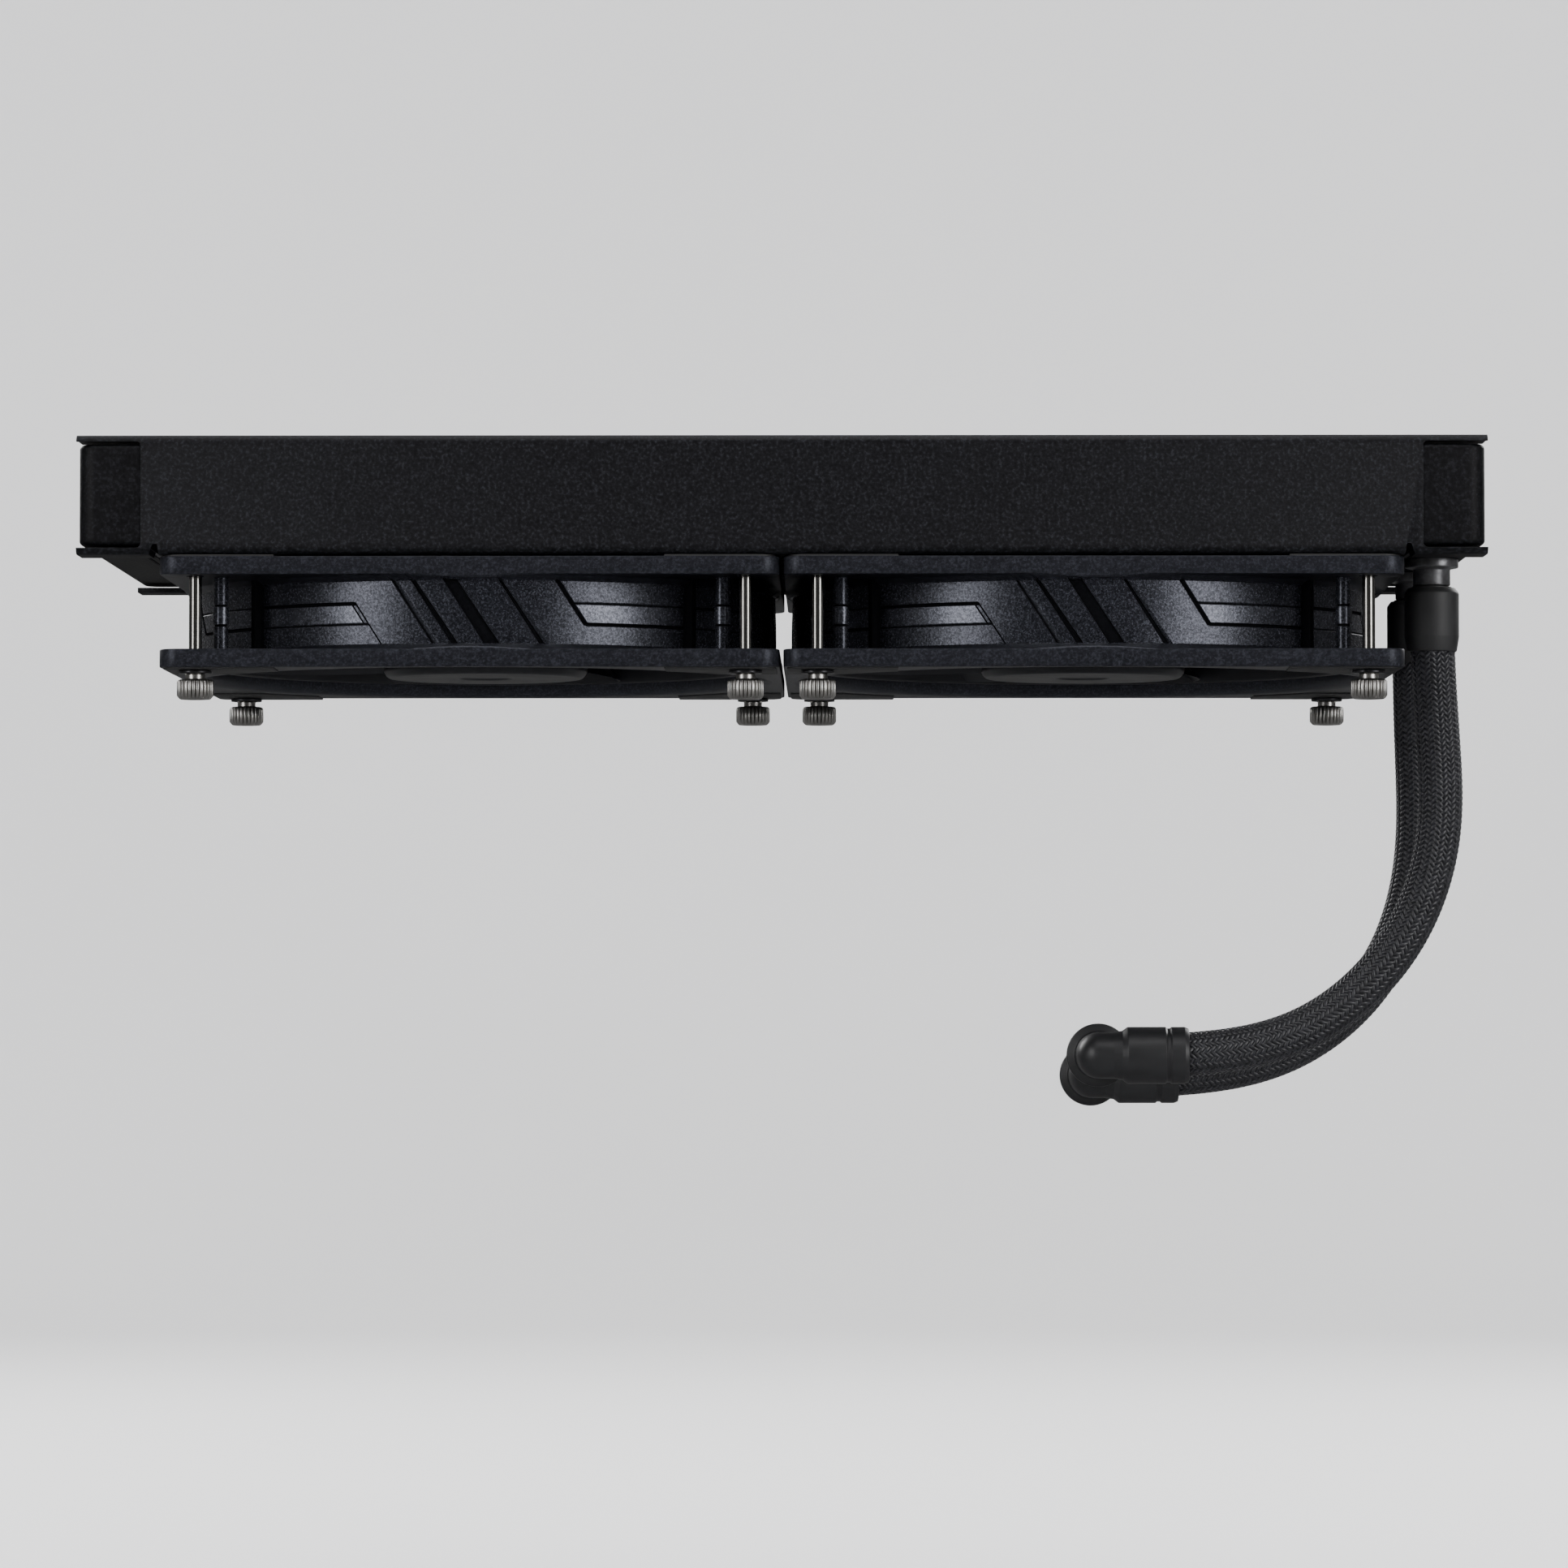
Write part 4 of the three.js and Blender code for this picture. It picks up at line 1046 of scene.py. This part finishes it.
def placed_copy(name, mesh, shift):
    """An object of its own copy of a mesh, moved by millimetres."""
    copy = mesh.copy()
    copy.name = name
    copy.transform(Matrix.Translation(Vector(shift) * MM))
    return linked(name, copy)


PAD_ARC = 71.5  # radius of a pad's inner edge
PAD_END = 44.0  # where a pad ends along each side
PAD_HOLE = 2.3
PAD_OVERLAP = 0.2  # how far a pad sits in the frame


def pad_outline():
    """Corner pad in the +X +Y corner: rounded outside, curved along the bore inside."""
    edge = HALF_FAN - 0.8
    start = math.asin(PAD_END / PAD_ARC)
    outer = rectangle((-edge, -edge), (edge, edge), CORNER - 0.5, 8)
    corner = [p for p in outer if p[0] > PAD_END and p[1] > PAD_END]
    arc = [(PAD_ARC * math.sin(a), PAD_ARC * math.cos(a))
           for a in np.linspace(start, math.pi / 2 - start, 20)]
    return np.array([(edge, PAD_END)] + corner + [(PAD_END, edge)] + arc)


def corner_pads(number):
    """Rubber pads on both faces of a fan, at its four corners, around the screw holes."""
    origin = fan_origin(number)
    ends = {"upper": (-PAD_OVERLAP, PAD_HEIGHT),
            "lower": (-FAN_HEIGHT - PAD_HEIGHT, PAD_OVERLAP - FAN_HEIGHT)}
    for level, (bottom, top) in ends.items():
        for quarter in range(4):
            pad = raw_object(f"fan_{number}_pad_{level}_{quarter + 1}",
                             prism(pad_outline(), bottom, top, 0.15, 2))
            hole = circle(PAD_HOLE, 24, (HALF_HOLES, HALF_HOLES))
            carve(pad, [prism(hole, bottom - 1, top + 1)])
            points, _ = turned((placed_points(pad), None), quarter * math.pi / 2)
            place_points(pad, points + origin)
            finished(pad, RUBBER, ROOT, (), "rubber_black")


# ------------------------------------------------------------------ impeller

BLADE_COUNT = 7
HUB_RADIUS = 24.0
BLADE_START, BLADE_END = HUB_RADIUS - 0.9, 64.2  # radii
BLADE_MIDDLE = -15.2  # its height, from the frame's upper face
CHORD = 33.0
CHORD_SCALE = (0.62, 1.1)  # at the hub and at the tip
PITCH = (0.62, 0.36)  # the blade's angle there, in radians
CAMBER, THICKNESS = 2.6, 0.85
SWEEP = 0.5 / 46.5  # radians for each millimetre outwards
SWEEP_START = 21.0  # radius at which a blade has not leant yet


def blade(start):
    """Thin curved blade, from the hub to the ring, with a rounded leading edge."""
    around = np.linspace(0, 2 * math.pi, 28, endpoint=False)
    u = np.cos(around) / 2
    thickness = THICKNESS * np.sin(around) * (0.55 + 0.45 * np.cos(around) * 0.6)
    camber = CAMBER * (1 - (2 * u) ** 2)
    stations = np.linspace(0, 1, 18)
    rows = []
    for t in stations:
        pitch = np.interp(t, (0, 1), PITCH)
        scale = np.interp(t, (0, 1), CHORD_SCALE)
        along = u * CHORD * scale
        up = camber * scale + thickness
        tangential = along * math.cos(pitch) - up * math.sin(pitch)
        axial = along * math.sin(pitch) + up * math.cos(pitch)
        radius = BLADE_START + (BLADE_END - BLADE_START) * t
        angle = start + SWEEP * (radius - SWEEP_START) + tangential / radius
        rows.append(np.column_stack(
            [radius * np.cos(angle), radius * np.sin(angle), BLADE_MIDDLE + axial]))
    return np.concatenate(rows), capped_faces(len(stations), len(around))


def impeller_parts():
    """Motor cup with a central boss, the ring around the blades' tips and the blades."""
    r = HUB_RADIUS
    cup = fillet([
        (0, -23.6), (6, -23.6), (6.6, -24), (r - 1, -24), (r, -22.4), (r, -5.6), (r - 1.4, -5.6),
        (r - 1.4, -22.6), (2.6, -22.6), (2.6, -19), (1.6, -19), (1.6, -22.3), (0, -22.3)],
        [0, 0.3, 0.3, 1.8, 1.2, 0.4, 0.2, 0.4, 0.4, 0.2, 0.1, 0, 0], 4, False)
    ring = fillet([(63.6, -10), (65, -10), (65, -22), (63.6, -22)], 0.5, 3)
    parts = [lathe(cup, 128), lathe(ring, 192, closed=True)]
    parts += [blade(2 * math.pi * k / BLADE_COUNT) for k in range(BLADE_COUNT)]
    return parts


# ------------------------------------------------------------------ fan cable and connector

CABLE_RADIUS = 1.0
PIN_PITCH = 2.54
PIN_COUNT = 4
SOCKET_HALF = 0.8
SOCKET_DEPTH = 7.0
KEY_HEIGHT = 0.9  # how far the connector's key stands out


def cable_path():
    """From the motor along a strut, out through the notch and back along the fan's rear side."""
    def polar(radius, degrees, z):
        a = math.radians(degrees)
        return (radius * math.cos(a), radius * math.sin(a), z)

    return spline([
        polar(18.3, 80, -4), polar(42, 90, -4.05), polar(62, 97, -4.3), polar(67.3, 99, -6),
        polar(70.4, 103, -7.6), polar(71.2, 112, -10.4), (-38, 66.9, -12), (-47.6, 67.8, -12.5)], 0.6)


def fan_connector(number):
    low, high = box_mm(f"fan_{number}_connector")
    front = low[1] + KEY_HEIGHT
    outline = rectangle((low[0], front), high[:2], 0.5, 3)
    obj = raw_object(f"fan_{number}_connector_form", prism(outline, low[2], high[2], 0.4, 3))
    middle = (low[2] + high[2]) / 2
    centre = (front + high[1]) / 2
    cutters = []
    for k in range(PIN_COUNT):
        z = middle + PIN_PITCH * (k - (PIN_COUNT - 1) / 2)
        section = rectangle((centre - SOCKET_HALF, z - SOCKET_HALF),
                            (centre + SOCKET_HALF, z + SOCKET_HALF), 0.1, 1)
        cutters.append(along_x(section, low[0] - 1, low[0] + SOCKET_DEPTH))
    carve(obj, cutters)
    key = rectangle((low[0], low[1]), (high[0] - 3, low[1] + 2), 0.3, 2)
    merge(obj, raw_object("key", prism(key, middle - 3, middle - 1.5, 0.2, 2)))
    finished(obj, FITTING, ROOT, [f"fan_{number}_connector"], "fitting_black")


def fans():
    """Both fans. What is the same in both is made once around a fan's origin and copied."""
    shell = frame_mesh()
    rotor = raw_object("rotor", joined(impeller_parts()))
    cable = raw_object("cable", tube(cable_path(), CABLE_RADIUS, 14))
    copies = (
        (shell, "frame", ERODED, "fan_frame_plastic", 28),
        (rotor, "impeller", BLADE, "fan_blade_plastic", 32),
        (cable, "cable", RUBBER, "rubber_black", 32))
    for number in (1, 2):
        origin = fan_origin(number)
        for source, label, material, slot, sharp in copies:
            node = f"fan_{number}_{label}"
            body = f"fan_{number}_rotor" if source is rotor else ROOT
            copy = placed_copy(f"{node}_form", source.data, origin)
            finished(copy, material, body, [node], slot, sharp)
        corner_pads(number)
        fan_connector(number)
        for label, material in INNER_PARTS.items():
            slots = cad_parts[f"fan_{number}_{label}"].data.materials
            slots.clear()
            slots.append(material)
    for obj in (shell, rotor, cable):
        bpy.data.objects.remove(obj)


# ------------------------------------------------------------------ thumbscrews

HEAD_RADIUS, NECK_RADIUS, STEM_RADIUS = 4.15, 2.2, 1.45
HEAD_HEIGHT = 4.5
NECK_HEIGHT = 1.25
TEETH = 26
TOOTH_DEPTH = 0.65
THREAD_PITCH, THREAD_DEPTH, THREAD_LENGTH = 0.5, 0.2, 6.0
POINT = 0.5  # height and depth of the chamfer at the tip
WASHER_HOLE, WASHER_RADIUS = 1.75, 3.75


def knurled_head(bottom):
    """Dished, knurled head with a short neck that flares towards the washer."""
    head, neck = HEAD_RADIUS, NECK_RADIUS
    top = bottom + HEAD_HEIGHT
    flare = top + NECK_HEIGHT
    rows = [  # radius, height, share of the teeth's depth
        (0, bottom + 0.7, 0), (1.7, bottom + 0.7, 0), (2.2, bottom + 0.3, 0), (2.6, bottom, 0),
        (3.3, bottom, 0), (3.6, bottom + 0.15, 0), (3.85, bottom + 0.45, 0.6),
        (head, bottom + 0.85, 1), (head, bottom + 2.4, 1), (head, top - 0.5, 1),
        (head - 0.3, top - 0.15, 0.6), (head - 0.7, top, 0), (neck + 0.2, top, 0),
        (neck, top + 0.15, 0), (neck, flare - 0.2, 0), (neck + 0.3, flare, 0),
        (STEM_RADIUS - 0.1, flare, 0)]

    def ripple(angle, row):
        valley = (1 - np.abs(np.sin(angle * TEETH / 2))) ** 2
        return 1 - rows[row][2] * TOOTH_DEPTH / head * valley

    return lathe([row[:2] for row in rows], TEETH * 10, ripple=ripple)


def screw_stem(bottom, tip):
    """Smooth shaft with rolled thread grooves at its end."""
    thread = tip - THREAD_LENGTH
    rows = [(0, bottom), (STEM_RADIUS, bottom), (STEM_RADIUS, thread)]
    for k in range(int((THREAD_LENGTH - POINT) / THREAD_PITCH)):
        z = thread + k * THREAD_PITCH
        rows += [(STEM_RADIUS, z), (STEM_RADIUS - THREAD_DEPTH, z + THREAD_PITCH / 2)]
    rows += [(STEM_RADIUS, tip - POINT), (STEM_RADIUS - POINT, tip), (0, tip)]
    return lathe(rows, 40)


def washer_shape(bottom, top):
    corners = [(WASHER_HOLE, bottom), (WASHER_RADIUS, bottom), (WASHER_RADIUS, top), (WASHER_HOLE, top)]
    return lathe(fillet(corners, 0.14, 3), 64, closed=True)


def screws():
    for _, label in LABELS:
        for number in range(1, 5):
            name = f"thumbscrew_{label}_{number}"
            low, high = box_mm(name)
            shift = (*middle_of(name)[:2], 0)
            head = moved(knurled_head(low[2]), shift)
            piece(f"{name}_head", [head], NICKEL, name, [name], "screw_nickel", 50)
            stem = moved(screw_stem(low[2] + HEAD_HEIGHT + 0.2, high[2]), shift)
            piece(f"{name}_stem", [stem], STEEL, name, (), "steel_pin")
            ring = f"washer_{label}_{number}"
            low, high = box_mm(ring)
            shape = moved(washer_shape(low[2], high[2]), shift)
            piece(f"{ring}_form", [shape], WASHER_BLACK, ring, [ring], "washer_black")


# ------------------------------------------------------------------ hoses

# Middle line of a hose: (along X from its port, height)
HOSE_COURSE = (
    (0, -31.4), (0, -44), (0.6, -66), (1, -90), (-8, -116), (-30, -135), (-56, -140), (-70, -140))
HOSE_LEANS = {-1: 2, 1: 0.6}  # how many times as much the front and the rear hose lean
HOSE_DROPS = {-1: 0, 1: 5}  # how much lower their far ends are
HOSE_STEP = 0.33
TUBE_RADIUS = 4.6  # under the braid
BRAID_OVERLAP = 2.0  # how far the braid reaches into the sleeve above it
BRAID_STRANDS = 24  # in each direction
BRAID_LEAD = 31.0  # length in which a strand goes once round the hose
BRAID_RADIUS = 4.76
YARN_HALF_WIDTH = 0.44
YARN_HEIGHT = 0.3
YARN_SECTION = ((-1, -0.35), (-0.55, 0.62), (0.55, 0.62), (1, -0.35))  # shares of those two
WEAVE = 0.2  # how far a strand rises and sinks as it passes over and under


def hose_path(side, x, y):
    """Middle line of a hose: straight down, leaning a little, then turning inwards."""
    knots = []
    for k, (dx, z) in enumerate(HOSE_COURSE):
        shift = dx * HOSE_LEANS[side] if 2 <= k <= 3 else dx
        knots.append((x + shift, y, z - (HOSE_DROPS[side] if k >= 3 else 0)))
    coarse = spline(knots, 6)
    for _ in range(5):
        coarse[2:-2] = (coarse[1:-3] + 2 * coarse[2:-2] + coarse[3:-1]) / 4
    return spline(coarse, HOSE_STEP)


def braid(path):
    """Woven sleeve: strands of yarn that run both ways round the hose, each over two and under two."""
    across, up = path_frames(path)
    step = np.linalg.norm(np.diff(path, axis=0), axis=1).mean()
    along = np.arange(len(path)) * step
    parts = []
    for direction in (1, -1):
        slant = math.atan2(2 * math.pi * BRAID_RADIUS, BRAID_LEAD) * direction
        for k in range(BRAID_STRANDS):
            angle = 2 * math.pi * (k / BRAID_STRANDS + direction * along / BRAID_LEAD)
            crossing = 2 * k + direction * 2 * BRAID_STRANDS * along / BRAID_LEAD
            lift = direction * WEAVE * np.cos(math.pi * (crossing - 0.5) / 2)
            columns = []
            for offset, height in YARN_SECTION:
                sideways = offset * YARN_HALF_WIDTH * math.cos(slant)
                lengthways = -offset * YARN_HALF_WIDTH * math.sin(slant)
                turn = angle + sideways / BRAID_RADIUS
                radius = BRAID_RADIUS + lift + height * YARN_HEIGHT
                place = np.clip(along + lengthways, 0, along[-1])
                centre = np.column_stack([np.interp(place, along, path[:, i]) for i in range(3)])
                columns.append(centre + radius[:, None] * (
                    np.cos(turn)[:, None] * across + np.sin(turn)[:, None] * up))
            points = np.stack(columns, axis=1).reshape(-1, 3)
            parts.append((points, capped_faces(len(path), len(YARN_SECTION))))
    return parts


def hose(side, label):
    """Braid, the tube under it, the sleeve over their upper end and the port above."""
    x, y, _ = middle_of(f"hose_port_{label}")
    path = hose_path(side, x, y)
    low, high = box_mm(f"hose_ferrule_{label}")
    bottom, top = low[2], high[2]
    visible = path[path[:, 2] < bottom + BRAID_OVERLAP]
    piece(f"hose_{label}_braid", braid(visible), BRAID, ROOT, [f"hose_{label}"], "hose_braid", 60)
    piece(f"hose_{label}_tube", [tube(path[::6], TUBE_RADIUS, 24)], RUBBER, ROOT, (), "rubber_black")

    sleeve = fillet([
        (5.1, bottom), (5.75, bottom), (6.3, bottom + 3.5), (6.3, top - 1.2), (5.4, top), (5.1, top)],
        [0.1, 0.45, 1.5, 0.9, 0.5, 0.1], 5)
    piece(f"hose_ferrule_{label}_form", [lathe(sleeve, 64, (x, y, 0), closed=True)], RUBBER, ROOT,
          [f"hose_ferrule_{label}"], "rubber_black")

    flange_top = BOTTOM + 2.0
    stub = fillet([
        (2.2, top - 8), (3.2, top - 8), (3.2, top + 0.5), (4.3, top + 0.5), (4.3, BOTTOM - 0.4),
        (6.2, BOTTOM), (6.2, flange_top), (4.0, flange_top), (2.2, flange_top)],
        [0, 0.2, 0.2, 0.3, 0.3, 0.3, 0.1, 0, 0], 3)
    piece(f"hose_port_{label}_form", [lathe(stub, 48, (x, y, 0), closed=True)], PORT_METAL, ROOT,
          [f"hose_port_{label}"], "port_metal")


ELBOW_BODY, ELBOW_COLLAR, ELBOW_FLANGE, ELBOW_BORE = 5.4, 6.6, 7.4, 2.2  # radii
COLLAR_GROOVE = 0.35
OUTLET_LENGTH = 15.0


def elbow(label):
    """Swivel elbow: a ribbed collar over the hose, a bend and a flanged outlet towards +Y."""
    low, high = box_mm(f"hose_elbow_{label}")
    body, collar, flange, bore = ELBOW_BODY, ELBOW_COLLAR, ELBOW_FLANGE, ELBOW_BORE
    middle = (low[0] + flange, high[1] - OUTLET_LENGTH, (low[2] + high[2]) / 2)
    groove_floor = collar - COLLAR_GROOVE
    collar_rows = fillet([
        (5.3, 20.4), (6.2, 20.4), (collar, 19.4), (collar, 16.4), (groove_floor, 16.0),
        (groove_floor, 15.4), (collar, 15.0), (collar, 6.2), (body + 0.3, 5.0), (body, 3.0),
        (body, 0), (0, 0)],
        [0.1, 0.3, 0.4, 0.15, 0.1, 0.1, 0.15, 0.6, 0.5, 0.5, 0, 0], 3, False)
    inside = [(5.3, 20.4), (5.3, 9.0), (0, 9.0)]
    along = joined([lathe(collar_rows, 56), lathe(inside, 56)])
    end = OUTLET_LENGTH
    outlet_rows = fillet([
        (0, 0), (body, 0), (body, end - 3.4), (flange, end - 3), (flange, end), (bore, end),
        (bore, end - 9), (0, end - 9)], [0, 0, 0.6, 0.4, 0.5, 0.25, 0, 0], 3, False)
    outlet = lathe(outlet_rows, 56)
    ball = lathe([(body * math.sin(a), -body * math.cos(a)) for a in np.linspace(0, math.pi, 25)], 56)
    parts = [turned(along, math.pi / 2, 1), turned(outlet, -math.pi / 2, 0), ball]
    piece(f"hose_elbow_{label}_form", [moved(part, middle) for part in parts], FITTING, ROOT,
          [f"hose_elbow_{label}"], "fitting_black")


# ------------------------------------------------------------------ building

for plate_side, plate_label in LABELS:
    side_plate(plate_side, plate_label)
tank(-1, "left")
tank(1, "right")
fill_plug()
tube_core()
for strip in range(1, FIN_ROWS + 1):
    fin_strip(strip, strip)
fans()
screws()
for hose_side, hose_label in LABELS:
    hose(hose_side, hose_label)
    elbow(hose_label)


# ------------------------------------------------------------------ stage

FLOOR_BELOW_FANS = 241.0
FLOOR_RADIUS, COVE_RADIUS, WALL_TOP = 1600, 800, 4000
PAPER = (0.78, 0.78, 0.785)
SKY_COLOUR = (0.86, 0.88, 0.92, 1)
SKY_STRENGTH = 0.06
DIM_IN_REFLECTIONS = 0.08
# Name, azimuth (0 at the front, 90 on the +X side), elevation, distance and size in metres, watts
SOFTBOXES = (
    ("left_softbox", -46, 10, 1.3, (0.42, 0.62), 7),
    ("right_softbox", 46, 10, 1.3, (0.5, 0.62), 9.3),
    ("overhead", 8, 60, 2.0, (1.6, 0.9), 14),
    ("rear_left_softbox", -142, 24, 1.3, (0.45, 0.6), 9),
    ("rear_right_softbox", 142, 24, 1.3, (0.45, 0.6), 9),
    ("ceiling", 0, 90, 2.6, (3.0, 3.0), 98),
)
CAMERA_AHEAD, CAMERA_BELOW, CAMERA_RIGHT = 1494.0, 92.9, 12.9  # of the fans' middle
PICTURE_WIDTH = 352.0  # at the fans' front
SENSOR = 36.0


def stage_material(name, grey):
    """Pale matt paper that can be looked through from behind and is dim in reflections."""
    n = Nodes(name)
    cloud = n.noise(3, 2)
    colour = n.ramp(cloud, [(0.3, shade(grey, 0.985)), (0.7, grey)])
    mirrored = n.add("ShaderNodeLightPath").outputs["Is Glossy Ray"]
    colour = n.mix(mirrored, colour, shade(grey, DIM_IN_REFLECTIONS))
    material = n.finish(Base_Color=colour, Roughness=0.85)
    behind = n.add("ShaderNodeNewGeometry").outputs["Backfacing"]
    clear = n.add("ShaderNodeBsdfTransparent").outputs[0]
    blend = n.add("ShaderNodeMixShader", {0: behind, 1: n.shader.outputs[0], 2: clear})
    n.set(n.tree.nodes["Material Output"], "Surface", blend.outputs[0])
    return material


def backdrop(floor):
    """Pale round floor that curves up into a wall all round."""
    bend = [(FLOOR_RADIUS + COVE_RADIUS * math.sin(a), COVE_RADIUS - COVE_RADIUS * math.cos(a))
            for a in np.linspace(0, math.pi / 2, 14)]
    profile = [(0, 0), (FLOOR_RADIUS / 2, 0), *bend, (FLOOR_RADIUS + COVE_RADIUS, WALL_TOP)]
    obj = raw_object("backdrop", lathe(profile, 96, (0, MIDDLE_Y, floor)))
    if obj.data.polygons[0].normal.z < 0:
        obj.data.flip_normals()
    shade_smooth(obj.data)
    obj.data.materials.append(stage_material("pale_floor", PAPER))


def aimed(name, data, place, direction):
    obj = linked(name, data)
    obj.location = place
    obj.rotation_mode = "QUATERNION"
    obj.rotation_quaternion = direction.to_track_quat("-Z", "Y")
    return obj


def softbox(target, name, azimuth, elevation, distance, size, power):
    """A square area light that faces target."""
    a, e = math.radians(azimuth), math.radians(elevation)
    out = Vector((math.sin(a) * math.cos(e), -math.cos(a) * math.cos(e), math.sin(e)))
    light = bpy.data.lights.new(name, "AREA")
    light.shape = "RECTANGLE"
    light.size, light.size_y = size
    light.energy = power
    aimed(name, light, target + out * distance, -out)


def sky():
    """Faint even light from all round, dimmer still in mirror reflections."""
    world = bpy.data.worlds.new("studio")
    world.use_nodes = True
    nodes, links = world.node_tree.nodes, world.node_tree.links
    background = nodes["Background"]
    background.inputs["Color"].default_value = SKY_COLOUR
    mirrored = nodes.new("ShaderNodeLightPath").outputs["Is Glossy Ray"]
    strength = nodes.new("ShaderNodeMapRange")
    strength.inputs["To Min"].default_value = SKY_STRENGTH
    strength.inputs["To Max"].default_value = SKY_STRENGTH * DIM_IN_REFLECTIONS
    links.new(mirrored, strength.inputs["Value"])
    links.new(strength.outputs[0], background.inputs["Strength"])
    bpy.context.scene.world = world


def camera(fan_middle):
    """Looks at the object's middle from below the fans, as the photo does."""
    data = bpy.data.cameras.new("camera")
    data.sensor_width = SENSOR
    data.clip_start, data.clip_end = 0.05, 20
    data.lens = SENSOR * (CAMERA_AHEAD - HALF_FAN) / PICTURE_WIDTH
    place = np.array([CAMERA_RIGHT, MIDDLE_Y - CAMERA_AHEAD, fan_middle - CAMERA_BELOW])
    (_, _, low), (_, _, high) = CAD_BOX
    aim = np.array([0.0, MIDDLE_Y, (low + high) / 2 / MM])
    bpy.context.scene.camera = aimed("camera", data, Vector(place) * MM, Vector(aim - place))


def studio():
    fan_middle = fan_origin(1)[2] - FAN_HEIGHT / 2
    backdrop(fan_middle - FLOOR_BELOW_FANS)
    for lamp in SOFTBOXES:
        softbox(Vector((0, MIDDLE_Y, fan_middle)) * MM, *lamp)
    sky()
    camera(fan_middle)


studio()
